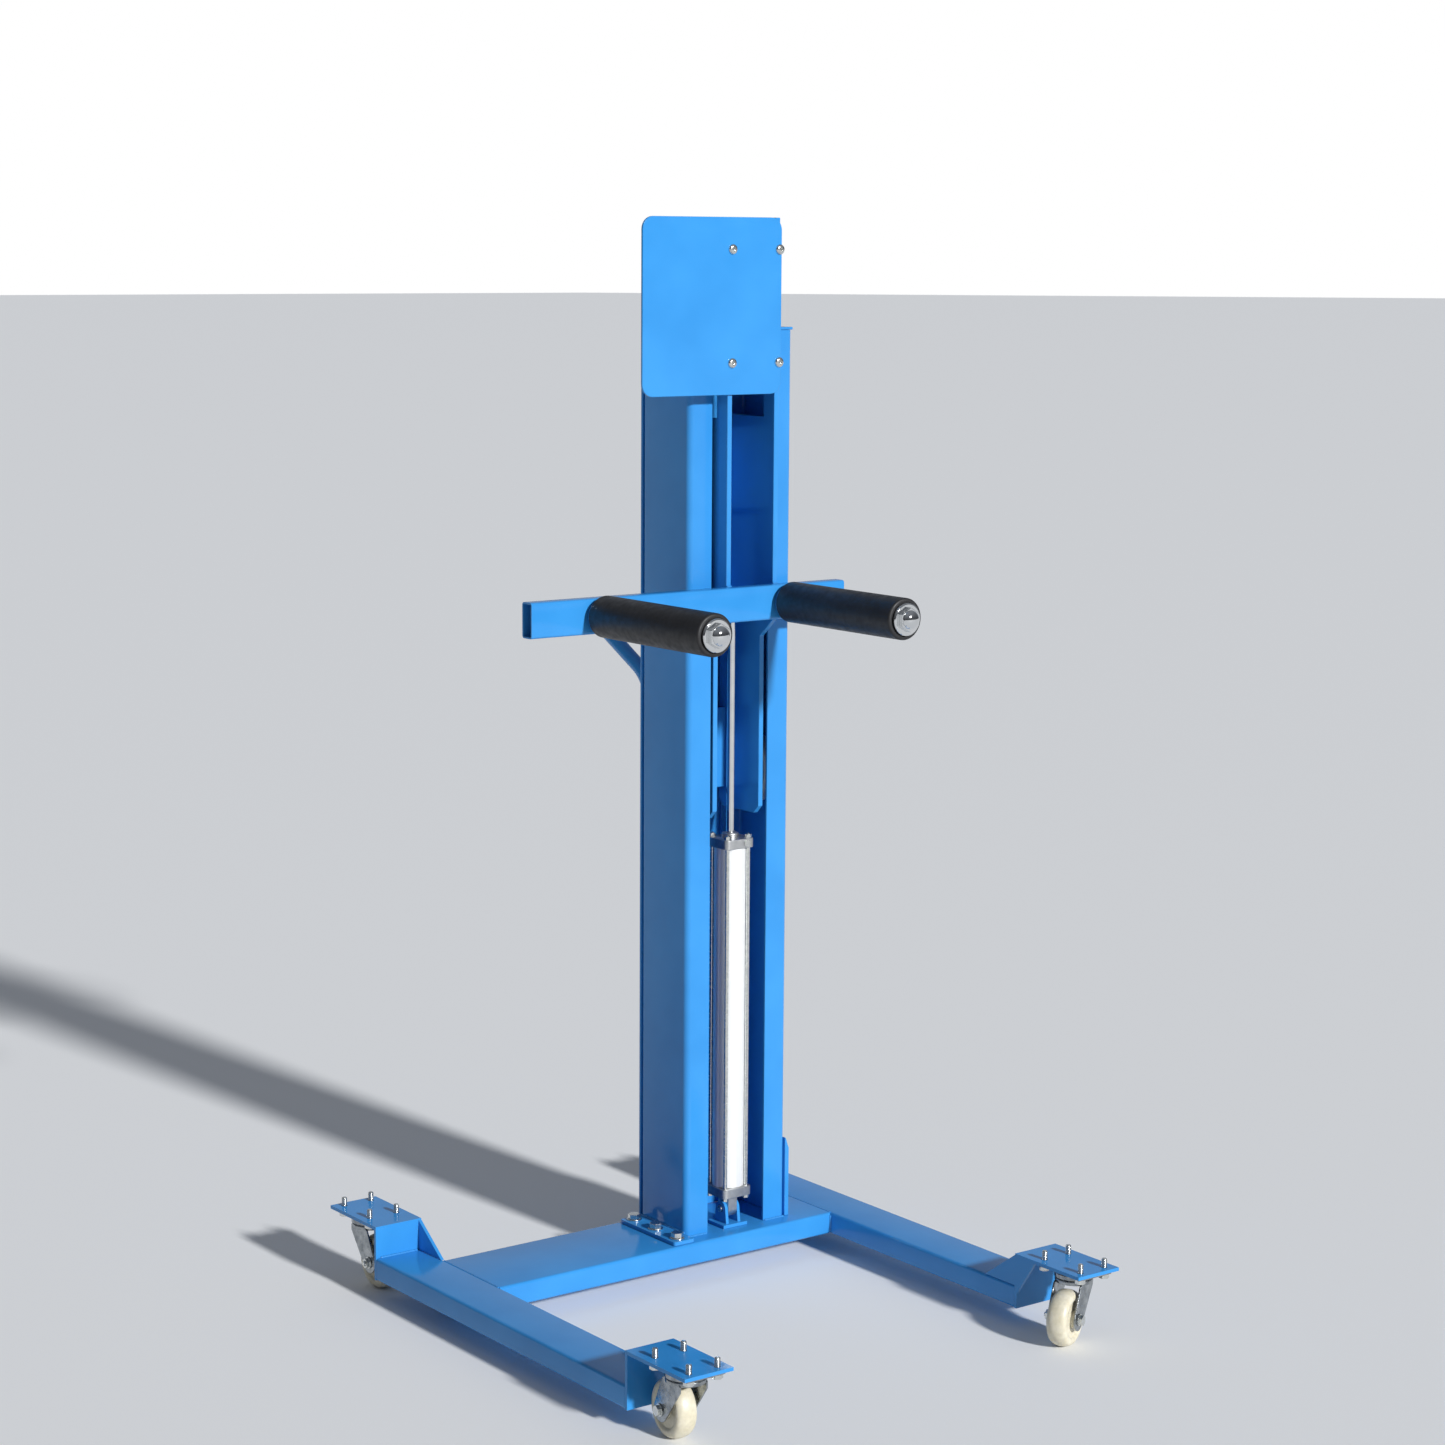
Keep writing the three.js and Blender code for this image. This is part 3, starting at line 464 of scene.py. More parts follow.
def turnedPiece(name, profile, at, steps, *finish, **more):
    bm = bmesh.new()
    addTurned(bm, profile, at, steps)
    finishPiece(name, bm, *finish, **more)


def copyOf(node):
    # a CAD node's own solid, merged, with its flat faces made whole
    bm = bmesh.new()
    bm.from_mesh(frame["nodes"][node].data)
    bmesh.ops.remove_doubles(bm, verts=bm.verts, dist=mergeWithin)
    bmesh.ops.dissolve_limit(bm, angle_limit=flatWithin, verts=bm.verts, edges=bm.edges)
    return bm


def refine(node, material, edge, segments=3):
    bm = copyOf(node)
    finishPiece(f"{node}_shaped", bm, material, *standsFor(node), edge, segments, flat=True)


def corners(node):
    low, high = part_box(node)
    return low, high, (low + high) / 2


def roundedPath(points, bend, steps=8):
    # points of a line with an arc in place of each inner corner
    path = [Vector(points[0])]
    for before, corner, after in zip(points, points[1:], points[2:]):
        corner = Vector(corner)
        back = (Vector(before) - corner).normalized()
        on = (Vector(after) - corner).normalized()
        half = back.angle(on) / 2
        radius = bend * math.tan(half)
        centre = corner + (back + on).normalized() * (radius / math.sin(half))
        start = corner + back * bend - centre
        end = corner + on * bend - centre
        for i in range(steps + 1):
            part = start.slerp(end, i / steps).normalized() * radius
            path.append(centre + part)
    path.append(Vector(points[-1]))
    return path


def addPipe(name, path, radius, material, body, slot, replaced):
    curve = bpy.data.curves.new(name, "CURVE")
    curve.dimensions = "3D"
    curve.bevel_depth = radius
    curve.bevel_resolution = 7
    curve.use_fill_caps = True
    line = curve.splines.new("POLY")
    line.points.add(len(path) - 1)
    for point, place in zip(line.points, path):
        point.co = (*place, 1)
    line.use_smooth = True
    curve.materials.append(material)
    pipe = bpy.data.objects.new(name, curve)
    scene.collection.objects.link(pipe)
    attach(pipe, body)
    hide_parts(*replaced)


# ---- welds

weld = {"radius": 2.0, "swell": 1.16, "ripple": 1.9, "sides": 10}


def addWeld(bm, start, end):
    # a bead laid in a corner: rings along the joint, each second one a little larger
    start = Vector(start)
    way = Vector(end) - start
    count = max(2, int(way.length / (weld["ripple"] * mm)))
    ring = bmesh.ops.create_circle(bm, cap_ends=True, segments=weld["sides"], radius=weld["radius"] * mm,
                                   matrix=standing(start, way))
    rim = [edge for edge in bm.edges if edge.verts[0] in ring["verts"] and edge.verts[1] in ring["verts"]]
    for i in range(count):
        grown = bmesh.ops.extrude_edge_only(bm, edges=rim)["geom"]
        verts = [item for item in grown if isinstance(item, bmesh.types.BMVert)]
        rim = [item for item in grown if isinstance(item, bmesh.types.BMEdge)]
        bmesh.ops.translate(bm, vec=way / count, verts=verts)
        size = weld["swell"] if i % 2 == 0 else 1 / weld["swell"]
        centre = start + way * (i + 1) / count
        bmesh.ops.scale(bm, vec=(size, size, size), space=Matrix.Translation(-centre), verts=verts)
    bmesh.ops.contextual_create(bm, geom=rim)


def weldLine(name, lines, body):
    bm = bmesh.new()
    for start, end in lines:
        addWeld(bm, start, end)
    finishPiece(name, bm, weldBlue, body, "blue_paint", sharp=70)


# ---- base

base = {"corner": 4, "edge": 0.4, "sheetEdge": 1.1}
foldSteps = 4


def makeTube(node, axis):
    # a closed run of rectangular tube with its long edges rounded
    low, high, _ = corners(node)
    bm = bmesh.new()
    verts = addBox(bm, low, high)
    roundEdges(bm, edgesAlong(verts, axis), base["corner"] * mm, foldSteps)
    finishPiece(f"{node}_tube", bm, blue, *standsFor(node), base["edge"], 2, 40)


makeTube("left_rail", 1)
makeTube("right_rail", 1)
makeTube("cross_member", 0)
cornerNames = ("front_left", "front_right", "rear_left", "rear_right")
for corner in cornerNames:
    refine(f"bracket_{corner}", blue, base["sheetEdge"])


baseWeld = {"start": 4, "inset": 1.3, "end": 3, "sink": 1.5, "side": 8}


def weldBase():
    lines = []
    crossLow, crossHigh, _ = corners("cross_member")
    for rail, side in (("left_rail", 1), ("right_rail", -1)):
        low, high, _ = corners(rail)
        x = high.x if side > 0 else low.x
        lines.append(((x, crossLow.y, low.z + baseWeld["start"] * mm),
                      (x, crossLow.y, high.z - baseWeld["start"] * mm)))
        within = x - side * baseWeld["inset"] * mm
        top = high.z - baseWeld["sink"] * mm
        lines.append(((within, crossLow.y + baseWeld["end"] * mm, top),
                      (within, crossHigh.y - baseWeld["end"] * mm, top)))
    for corner in cornerNames:
        low, high, _ = corners("left_rail" if "left" in corner else "right_rail")
        y = low.y if "front" in corner else high.y
        lines.append(((low.x + baseWeld["side"] * mm, y, high.z),
                      (high.x - baseWeld["side"] * mm, y, high.z)))
    weldLine("base_welds", lines, "frame")


weldBase()
print("base shaped")


# ---- casters

def localTo(corner):
    # local frame of a caster: origin under its swivel, +X towards its wheel
    pivot = Vector(joints[f"swivel_{corner}_turn"]["pos_m"])
    spin = joints[f"wheel_{corner}_spin"]
    heading = math.atan2(-spin["axis"][0], spin["axis"][1])
    hub = Vector(spin["pos_m"])
    trail = math.hypot(hub.x - pivot.x, hub.y - pivot.y)
    matrix = Matrix.Translation((pivot.x, pivot.y, 0)) @ Matrix.Rotation(heading, 4, "Z")
    return matrix, trail, hub.z


def hung(top, points):
    # profile points given as (radius, distance below the top)
    return [(radius, top - drop) for radius, drop in points]


def acrossAxle(corner):
    # local Z along the wheel's axle, from its middle
    matrix, trail, axle = localTo(corner)
    return matrix @ Matrix.Translation((trail, 0, axle)) @ Matrix.Rotation(math.pi / 2, 4, "X")


swivel = {"drop": 5.3, "thick": 3, "corner": 7, "bore": 6, "race": 28, "lip": 1.5, "curl": 4, "steps": 64}
plateBolt = {"x": 22.5, "y": 36.5, "radius": 4, "gap": 0.2, "washer": 7, "washerThick": 1.4,
             "across": 13, "head": 5.3}


def casterPlate(corner):
    node = f"caster_plate_{corner}"
    low, high, middle = corners(node)
    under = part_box(f"bracket_{corner}")[1].z - swivel["drop"] * mm
    raceTop = under - swivel["thick"] * mm
    bm = bmesh.new()
    plate = addBox(bm, (low.x, low.y, raceTop), (high.x, high.y, under))
    roundEdges(bm, edgesAlong(plate, 2), swivel["corner"] * mm, 5)
    bore, race, curl = swivel["bore"], swivel["race"], swivel["curl"]
    depth = (raceTop - low.z) / mm
    profile = [(bore, 0), (race, 0), (race, swivel["lip"])]
    profile += arc(race - curl, depth - curl, curl, 0, 90, 5) + [(bore, depth), (bore, 0)]
    addTurned(bm, profile, Matrix.Translation((middle.x, middle.y, low.z)), swivel["steps"])
    finishPiece(f"{node}_pressed", bm, zinc, *standsFor(node), 0.5, 2, 35)
    casterBolts(corner, middle, raceTop, (high.z - raceTop) / mm)


def casterBolts(corner, middle, raceTop, length):
    studs = bmesh.new()
    washerEnd = -plateBolt["gap"] - plateBolt["washerThick"]
    for x in (-plateBolt["x"], plateBolt["x"]):
        for y in (-plateBolt["y"], plateBolt["y"]):
            at = Matrix.Translation((middle.x + x * mm, middle.y + y * mm, raceTop))
            addTurned(studs, threadProfile(plateBolt["radius"], 0, length), at, 20)
            addTurned(studs, disc(plateBolt["washer"], -plateBolt["gap"], washerEnd), at, 24)
            head = Matrix.Translation((0, 0, (washerEnd - plateBolt["head"]) * mm))
            addHex(studs, plateBolt["across"], plateBolt["head"], at @ head)
    slot = slotOf[f"caster_plate_{corner}"]
    finishPiece(f"caster_bolts_{corner}", studs, bolt, "frame", slot, edge=0.25, sharp=50)


# the boxes are given by two corners: distance along the fork, and below its top
fork = {
    "raceGap": 1, "dome": ((0, 5), (22, 5), (27, 6.5), (27, 2)), "curl": 2, "crown": 25,
    "hollow": ((18, 0), (16, 1.4), (0, 1.4)), "rivet": ((0, 8.5), (8, 8.5), (9, 7.5), (9, 4), (0, 4)),
    "inner": 18.5, "outer": 21, "eye": 16, "flank": ((-20, 14), (25, 5.5)), "shoulder": ((-17, 6), (18, 2)),
    "bridge": ((-18, 5), (18, 2.5)), "bridgeHalf": 20.5,
}


def casterFork(corner):
    node = f"caster_fork_{corner}"
    matrix, trail, axle = localTo(corner)
    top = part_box(f"caster_plate_{corner}")[0].z / mm - fork["raceGap"]
    bm = bmesh.new()
    dome = hung(top, fork["dome"]) + arc(fork["crown"], top - fork["curl"], fork["curl"], 0, 90, 3)
    addTurned(bm, dome + hung(top, fork["hollow"]), Matrix.Identity(4), swivel["steps"])
    addTurned(bm, hung(top, fork["rivet"]), Matrix.Identity(4), 32)

    def addSlab(target, name, low, high):
        (back, deep), (ahead, drop) = fork[name]
        addBox(target, (back * mm, low, (top - deep) * mm), (ahead * mm, high, (top - drop) * mm))

    half = (fork["outer"] - fork["inner"]) * mm / 2
    for side in (-1, 1):
        # one cheek: the skin round its foot, flank and shoulder
        cheek = bmesh.new()
        y = side * (fork["inner"] * mm + half)
        flat = Matrix.Translation((trail, y, axle)) @ Matrix.Rotation(math.pi / 2, 4, "X")
        bmesh.ops.create_cone(cheek, cap_ends=True, segments=40, radius1=fork["eye"] * mm,
                              radius2=fork["eye"] * mm, depth=2 * half, matrix=flat)
        addSlab(cheek, "flank", y - half, y + half)
        addSlab(cheek, "shoulder", y - half, y + half)
        skinInto(bm, cheek)
    addSlab(bm, "bridge", -fork["bridgeHalf"] * mm, fork["bridgeHalf"] * mm)
    bmesh.ops.transform(bm, matrix=matrix, verts=bm.verts)
    finishPiece(f"{node}_pressed", bm, zinc, *standsFor(node), 0.7, 3, 35)


axleBolt = {"face": 21.3, "washer": 8.5, "washerThick": 1.3, "across": 13, "head": 5.2,
            "radius": 4, "half": 22, "threadStart": 21, "threadEnd": 30.5}


def casterAxle(corner):
    node = f"caster_axle_{corner}"
    bm = bmesh.new()
    across = acrossAxle(corner)
    for turn in (math.pi, 0):
        face = across @ Matrix.Rotation(turn, 4, "X") @ Matrix.Translation((0, 0, axleBolt["face"] * mm))
        addTurned(bm, disc(axleBolt["washer"], 0, axleBolt["washerThick"]), face, 32)
        head = face @ Matrix.Translation((0, 0, axleBolt["washerThick"] * mm))
        addHex(bm, axleBolt["across"], axleBolt["head"], head)
    grooves = threadProfile(axleBolt["radius"], axleBolt["threadStart"], axleBolt["threadEnd"])
    addTurned(bm, grooves, across, 24)
    addTurned(bm, disc(axleBolt["radius"], -axleBolt["half"], axleBolt["half"]), across, 24)
    finishPiece(f"{node}_bolt", bm, bolt, *standsFor(node), 0.4, 2, 40)


# side: the wheel's face, from its bore to the edge of its tread
tread = {"half": 15, "crown": 10, "fullness": 0.8, "steps": 14,
         "side": ((4.6, 17), (11, 17), (12.2, 12.5), (25, 11.5), (27.5, 14.4))}


def casterWheel(corner):
    node = f"caster_wheel_{corner}"
    radius = localTo(corner)[2] / mm
    crown, steps = tread["crown"], tread["steps"]
    profile = [(at, -out) for at, out in tread["side"]]
    for i in range(steps + 1):
        angle = math.pi * (i / steps - 0.5)
        bulge = math.cos(angle) ** tread["fullness"] if 0 < i < steps else 0
        profile.append((radius - crown + crown * bulge, tread["half"] * math.sin(angle)))
    profile += [*reversed(tread["side"]), profile[0]]
    turnedPiece(f"{node}_moulded", profile, acrossAxle(corner), 72,
                nylon, *standsFor(node), 0.8, 3, 38)


for corner in cornerNames:
    casterPlate(corner)
    casterFork(corner)
    casterAxle(corner)
    casterWheel(corner)
print("casters made")


# ---- mast

mast = {"bend": 7, "wall": 4, "lipEdge": 0.6, "edge": 1.0}


def mastPost(node, side):
    # a channel folded from sheet, with its outer corners rounded
    low, high, _ = corners(node)
    half = mast["wall"] * mm / 2
    web = low.x + half if side < 0 else high.x - half
    lip = high.x if side < 0 else low.x
    path = [(lip, low.y + half), (web, low.y + half), (web, high.y - half), (lip, high.y - half)]
    bm = bmesh.new()
    points = [bm.verts.new((x, y, low.z)) for x, y in path]
    edges = [bm.edges.new(pair) for pair in zip(points, points[1:])]
    grown = bmesh.ops.extrude_edge_only(bm, edges=edges)
    upper = [item for item in grown["geom"] if isinstance(item, bmesh.types.BMVert)]
    bmesh.ops.translate(bm, vec=(0, 0, high.z - low.z), verts=upper)
    folds = [edge for edge in bm.edges if len(edge.link_faces) == 2]
    roundEdges(bm, folds, mast["bend"] * mm, 6)
    piece = finishPiece(f"{node}_folded", bm, blue, *standsFor(node), sharp=40)
    thicken(piece, mast["wall"], 0)
    softenEdges(piece, mast["lipEdge"], 2, 50)


mastPost("mast_post_left", -1)
mastPost("mast_post_right", 1)
refine("mast_back", blue, mast["edge"], 2)
refine("mast_foot_right", blue, 1.2)

foot = {"gap": 0.3, "thick": 6, "corner": 4, "bolts": 3, "inset": 16, "first": -8.5, "spacing": 55,
        "turn": 0.4, "washer": 11.5, "washerThick": 1.8, "across": 17, "head": 7.5}


def leftFoot():
    low, high, _ = corners("mast_foot_left")
    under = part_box("cross_member")[1].z + foot["gap"] * mm
    top = under + foot["thick"] * mm
    bm = bmesh.new()
    plate = addBox(bm, (low.x, low.y, under), (high.x, high.y, top))
    roundEdges(bm, edgesAlong(plate, 2), foot["corner"] * mm, 4)
    finishPiece("mast_foot_left_plate", bm, blue, *standsFor("mast_foot_left"), 0.9, 3)
    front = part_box("mast_post_left")[0].y
    bolts = bmesh.new()
    for i in range(foot["bolts"]):
        y = front + (foot["first"] + foot["spacing"] * i) * mm
        at = Matrix.Translation((low.x + foot["inset"] * mm, y, top))
        addTurned(bolts, disc(foot["washer"], 0, foot["washerThick"]), at, 32)
        turn = Matrix.Rotation(foot["turn"] * i, 4, "Z")
        head = at @ turn @ Matrix.Translation((0, 0, foot["washerThick"] * mm))
        addHex(bolts, foot["across"], foot["head"], head)
    finishPiece("foot_bolts", bolts, bolt, "frame", "zinc", edge=0.6, segments=3, sharp=40)


leftFoot()


mastWeld = {"end": 2, "lip": 38, "side": 4, "rise": 6.5}


def weldMast():
    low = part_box("mast_post_left")[0]
    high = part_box("mast_post_right")[1]
    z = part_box("cross_member")[1].z
    footLow, footHigh, _ = corners("mast_foot_right")
    end, lip, side = [mastWeld[name] * mm for name in ("end", "lip", "side")]
    raised = z + mastWeld["rise"] * mm
    lines = [
        ((low.x + end, low.y, z), (low.x + lip, low.y, z)),
        ((high.x - lip, low.y, z), (high.x - end, low.y, z)),
        ((low.x, low.y + side, raised), (low.x, high.y - side, raised)),
        ((footHigh.x, footLow.y + end, z), (footHigh.x, footHigh.y - end, z)),
    ]
    weldLine("mast_welds", lines, "frame")


weldMast()

handle = {"radius": 11, "bend": 36, "slope": 28, "weldSide": 5, "weldLow": 2, "weldHigh": 30}


def pushHandle():
    low, high, _ = corners("push_handle")
    r = handle["radius"] * mm
    legY = low.y + r
    gripY = high.y - r
    knee = high.z - r - (gripY - legY) * math.tan(math.radians(handle["slope"]))
    left = low.x + r
    right = high.x - r
    points = [(left, legY, low.z), (left, legY, knee), (left, gripY, high.z - r),
              (right, gripY, high.z - r), (right, legY, knee), (right, legY, low.z)]
    path = roundedPath(points, handle["bend"] * mm)
    addPipe("push_handle_tube", path, r, blue, *standsFor("push_handle"))
    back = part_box("mast_back")[1].y
    start = low.z + handle["weldLow"] * mm
    end = low.z + handle["weldHigh"] * mm
    lines = []
    for middle in (left, right):
        for side in (-1, 1):
            x = middle + side * handle["weldSide"] * mm
            lines.append(((x, back, start), (x, back, end)))
    weldLine("handle_welds", lines, "frame")


pushHandle()
print("mast made")


# ---- air cylinder

cylinder = {"bore": 20, "barrel": 23.5, "gap": 0.3, "cap": 14, "corner": 7, "eye": 13, "eyeHalf": 8,
            "eyeTop": 14, "eyeLap": 1,
            "gland": ((6.4, 14), (12.5, 14), (12.5, 20), (11.5, 21.3), (6.4, 21.3), (6.4, 14))}
tieRod = {"half": 19, "radius": 3, "below": 16, "above": 17, "tip": 21, "pitch": 1, "across": 9,
          "nut": 5, "lowNut": 4.6, "lowNutDrop": 19}
vent = {"aside": 12, "rise": 7.3, "radius": 5.5, "thick": 1}


def capBlock(start):
    # a cast block with its upright corners rounded
    low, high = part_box("cylinder_end_cap")
    bm = bmesh.new()
    block = addBox(bm, (low.x, low.y, start * mm), (high.x, high.y, (start + cylinder["cap"]) * mm))
    roundEdges(bm, edgesAlong(block, 2), cylinder["corner"] * mm, 5)
    return bm


def cylinderPieces():
    low, high, middle = corners("cylinder_barrel")
    x, y = middle.x, middle.y
    axis = Matrix.Translation((x, y, 0))
    bottom = low.z / mm
    top = high.z / mm
    turnedPiece("cylinder_barrel_tube", ring(cylinder["bore"], cylinder["barrel"], bottom, top), axis, 72,
                anodised, *standsFor("cylinder_barrel"), 0.4, 2, 40)

    bm = capBlock(bottom - cylinder["gap"] - cylinder["cap"])
    eye = bmesh.new()
    radius = cylinder["eye"] * mm
    half = cylinder["eyeHalf"] * mm
    pin = standing((x, y, corners("cylinder_pin")[2].z), (1, 0, 0))
    bmesh.ops.create_cone(eye, cap_ends=True, segments=40, radius1=radius, radius2=radius,
                          depth=2 * half, matrix=pin)
    eyeTop = bottom - cylinder["eyeTop"]
    addBox(eye, (x - half, y - radius, (eyeTop - cylinder["eyeLap"]) * mm), (x + half, y + radius, eyeTop * mm))
    skinInto(bm, eye)
    finishPiece("cylinder_end_cap_cast", bm, cast, *standsFor("cylinder_end_cap"), 0.8, 3, 35)

    bm = capBlock(top + cylinder["gap"])
    addTurned(bm, [(radius, top + rise) for radius, rise in cylinder["gland"]], axis, 48)
    finishPiece("cylinder_head_cast", bm, cast, *standsFor("cylinder_head"), 0.8, 3, 35)

    rods = bmesh.new()
    radius = tieRod["radius"]
    above = top + tieRod["above"]
    nutStart = top + cylinder["gap"] + cylinder["cap"]
    for dx in (-tieRod["half"], tieRod["half"]):
        for dy in (-tieRod["half"], tieRod["half"]):
            at = Matrix.Translation((x + dx * mm, y + dy * mm, 0))
            addTurned(rods, disc(radius, bottom - tieRod["below"], above), at, 20)
            addHex(rods, tieRod["across"], tieRod["nut"], at @ Matrix.Translation((0, 0, nutStart * mm)))
            addTurned(rods, threadProfile(radius, above, top + tieRod["tip"], tieRod["pitch"]), at, 16)
            lowStart = Matrix.Translation((0, 0, (bottom - tieRod["lowNutDrop"]) * mm))
            addHex(rods, tieRod["across"], tieRod["lowNut"], at @ lowStart)
    finishPiece("cylinder_tie_rods", rods, bolt, "frame", "aluminium", edge=0.3, sharp=40)

    # vent of the rod's side, closed by a sintered plug
    plug = bmesh.new()
    place = (x + vent["aside"] * mm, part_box("cylinder_end_cap")[0].y, (top + vent["rise"]) * mm)
    addTurned(plug, disc(vent["radius"], 0, vent["thick"]), standing(place, (0, -1, 0)), 24)
    finishPiece("cylinder_breather", plug, bolt, "frame", "aluminium", edge=0.3, sharp=40)


def clevis():
    refine("cylinder_foot", blue, 1.0, 3)
    low, high, middle = corners("cylinder_pin")
    at = standing((low.x, middle.y, middle.z), (1, 0, 0))
    turnedPiece("cylinder_pin_turned", disc((high.z - low.z) / mm / 2, 0, (high.x - low.x) / mm), at, 32,
                bolt, *standsFor("cylinder_pin"), 0.6, 2, 40)


piston = {"bore": 4.8, "radius": 19.7, "length": 30, "groove": 18.4, "grooves": ((8, 11), (19, 22))}
rod = {"flange": 9, "neck": 4.5, "radius": 6, "collar": 10, "collarThick": 7, "thread": 5, "plain": 8}
rodNut = {"across": 17, "height": 9}


def pistonPieces():
    lowest, _, middle = corners("piston")
    axis = Matrix.Translation((middle.x, middle.y, 0))
    bottom = lowest.z / mm
    bore, radius, groove = piston["bore"], piston["radius"], piston["groove"]
    top = bottom + piston["length"]
    profile = [(bore, bottom), (radius, bottom)]
    for start, end in piston["grooves"]:
        low, high = bottom + start, bottom + end
        profile += [(radius, low), (groove, low), (groove, high), (radius, high)]
    profile += [(radius, top), (bore, top), (bore, bottom)]
    turnedPiece("piston_turned", profile, axis, 48, cast, *standsFor("piston"), 0.4, 2, 40)

    # one turned bar: flange under the piston, neck through it, rod, collar under the lug, threaded end
    gap = cylinder["gap"]
    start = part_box("piston_rod")[0].z / mm
    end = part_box("piston_rod")[1].z / mm
    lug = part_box("carriage_lug")[0].z / mm
    collarTop = lug - gap
    collarLow = collarTop - rod["collarThick"]
    profile = [(0, start), (rod["flange"], start), (rod["flange"], bottom - gap), (rod["neck"], bottom - gap),
               (rod["neck"], top + gap), (rod["radius"], top + gap), (rod["radius"], collarLow),
               (rod["collar"], collarLow), (rod["collar"], collarTop), (rod["thread"], collarTop),
               (rod["thread"], lug + rod["plain"])]
    profile += threadProfile(rod["thread"], lug + rod["plain"], end)[1:]
    turnedPiece("piston_rod_ground", profile, axis, 48,
                chrome, *standsFor("piston_rod"), 0.25, 2, 40)
    bm = bmesh.new()
    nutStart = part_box("rod_nut")[0].z
    addHex(bm, rodNut["across"], rodNut["height"], Matrix.Translation((middle.x, middle.y, nutStart)))
    finishPiece("rod_nut_hex", bm, bolt, *standsFor("rod_nut"), 0.7, 3, 40)


cylinderPieces()
clevis()
pistonPieces()
print("cylinder made")


# ---- carriage

carriage = {"edge": 1.0, "tubeCorner": 4, "tubeEdge": 0.4, "wall": 2.5}


def crossbar():
    # rectangular tube, open at both ends
    low, high, _ = corners("crossbar")
    bm = bmesh.new()
    verts = addBox(bm, low, high)
    roundEdges(bm, edgesAlong(verts, 0), carriage["tubeCorner"] * mm, foldSteps)
    ends = [face for face in bm.faces if abs(face.normal.x) > 0.99]
    bmesh.ops.delete(bm, geom=ends, context="FACES")
    piece = finishPiece("crossbar_tube", bm, blue, *standsFor("crossbar"), sharp=40)
    thicken(piece, carriage["wall"], -1)
    softenEdges(piece, carriage["tubeEdge"], 2, 50)


crossbar()
for node in ("carriage_side_left", "carriage_side_right"):
    refine(node, blue, carriage["edge"], 2)
for node in ("carriage_tie_low", "carriage_tie_high", "carriage_lug"):
    refine(node, blue, carriage["edge"])


panel = {"corner": 18, "edge": 1, "screwIn": 45, "screwOut": 4.3, "screwSunk": 0.1}
screw = {"radius": 7.5, "curl": 4, "socket": ((2.6, 4), (2.6, 2), (0, 2))}


def restPanel():
    low, high, _ = corners("wheel_rest_panel")
    bm = bmesh.new()
    plate = addBox(bm, low, high)
    roundEdges(bm, edgesAlong(plate, 1), panel["corner"] * mm, 8)
    finishPiece("wheel_rest_panel_plate", bm, blue, *standsFor("wheel_rest_panel"),
                panel["edge"], 3, 50)


restPanel()


def panelBolts():
    # button heads, in line with the side plates on either side of the lug
    low, high, _ = corners("wheel_rest_panel")
    lugLow, lugHigh, _ = corners("carriage_lug")
    out = panel["screwOut"] * mm
    dome = [(0, 0), (screw["radius"], 0)] + arc(screw["radius"] - screw["curl"], 0, screw["curl"], 0, 90, 6)
    bm = bmesh.new()
    for x in (lugLow.x - out, lugHigh.x + out):
        for z in (low.z + panel["screwIn"] * mm, high.z - panel["screwIn"] * mm):
            at = standing((x, low.y - panel["screwSunk"] * mm, z), (0, -1, 0))
            addTurned(bm, [*dome, *screw["socket"]], at, 32)
    finishPiece("panel_screws", bm, bolt, "carriage", "zinc", edge=0.3, sharp=40)


panelBolts()

crossbarWeld = {"length": 8, "inset": 1}


def weldCarriage():
    # where the side plates meet the back of the crossbar
    barLow, barHigh, _ = corners("crossbar")
    lugLow, lugHigh, _ = corners("carriage_lug")
    length = crossbarWeld["length"] * mm
    inset = crossbarWeld["inset"] * mm
    lines = []
    for x in (lugLow.x - length, lugHigh.x):
        for z in (barLow.z + inset, barHigh.z - inset):
            lines.append(((x, barHigh.y, z), (x + length, barHigh.y, z)))
    weldLine("crossbar_welds", lines, "carriage")


weldCarriage()


# face: one side of the roller, from its bore to its rim
guide = {"face": ((10.6, 0), (22, 0), (22, 1.2), (31, 1.2), (33, 4), (44, 4), (46, 0)), "chamfer": 3,
         "clip": (10.1, 14.5), "clipAt": 1, "clipThick": 1.2}


def guideRoller(name):
    node = f"guide_roller_{name}"
    low, high, middle = corners(node)
    side = -1 if "left" in name else 1
    width = (high.x - low.x) / mm
    radius = (high.z - low.z) / mm / 2
    at = standing((high.x if side < 0 else low.x, middle.y, middle.z), (side, 0, 0))
    cut = guide["chamfer"]
    profile = [*guide["face"], (radius - cut, 0), (radius, cut), (radius, width - cut), (radius - cut, width)]
    profile += [(out, width - depth) for out, depth in reversed(guide["face"])] + [guide["face"][0]]
    turnedPiece(f"{node}_turned", profile, at, 72, guideWhite, *standsFor(node), 0.5, 2, 32)
    start = width + guide["clipAt"]
    turnedPiece(f"guide_clip_{name}", ring(*guide["clip"], start, start + guide["clipThick"]), at, 40,
                bolt, "carriage", "zinc", edge=0.2, sharp=40)


for name in ("low_left", "low_right", "high_left", "high_right"):
    guideRoller(name)
print("carriage made")


# ---- support rollers

roller = {"bore": 13, "steps": 96, "rootRound": 2, "tipRound": 3.5, "recess": ((24.5, 0), (24, 1.2)),
          "root": ((0, 0), (23, 0), (23, 4), (21.5, 6)), "shaft": 12.5, "shaftPast": 1,
          "washer": ((0, 0), (23, 0), (23, 2.6), (21.6, 4), (0, 4)), "washerThick": 4,
          "across": 30, "nut": 6.5, "dome": 13.5, "domeSteps": 10}
rollerWeld = {"inner": 22.5, "middle": 23, "rise": 1.2, "size": 1.5, "low": -0.2, "high": 2.5}


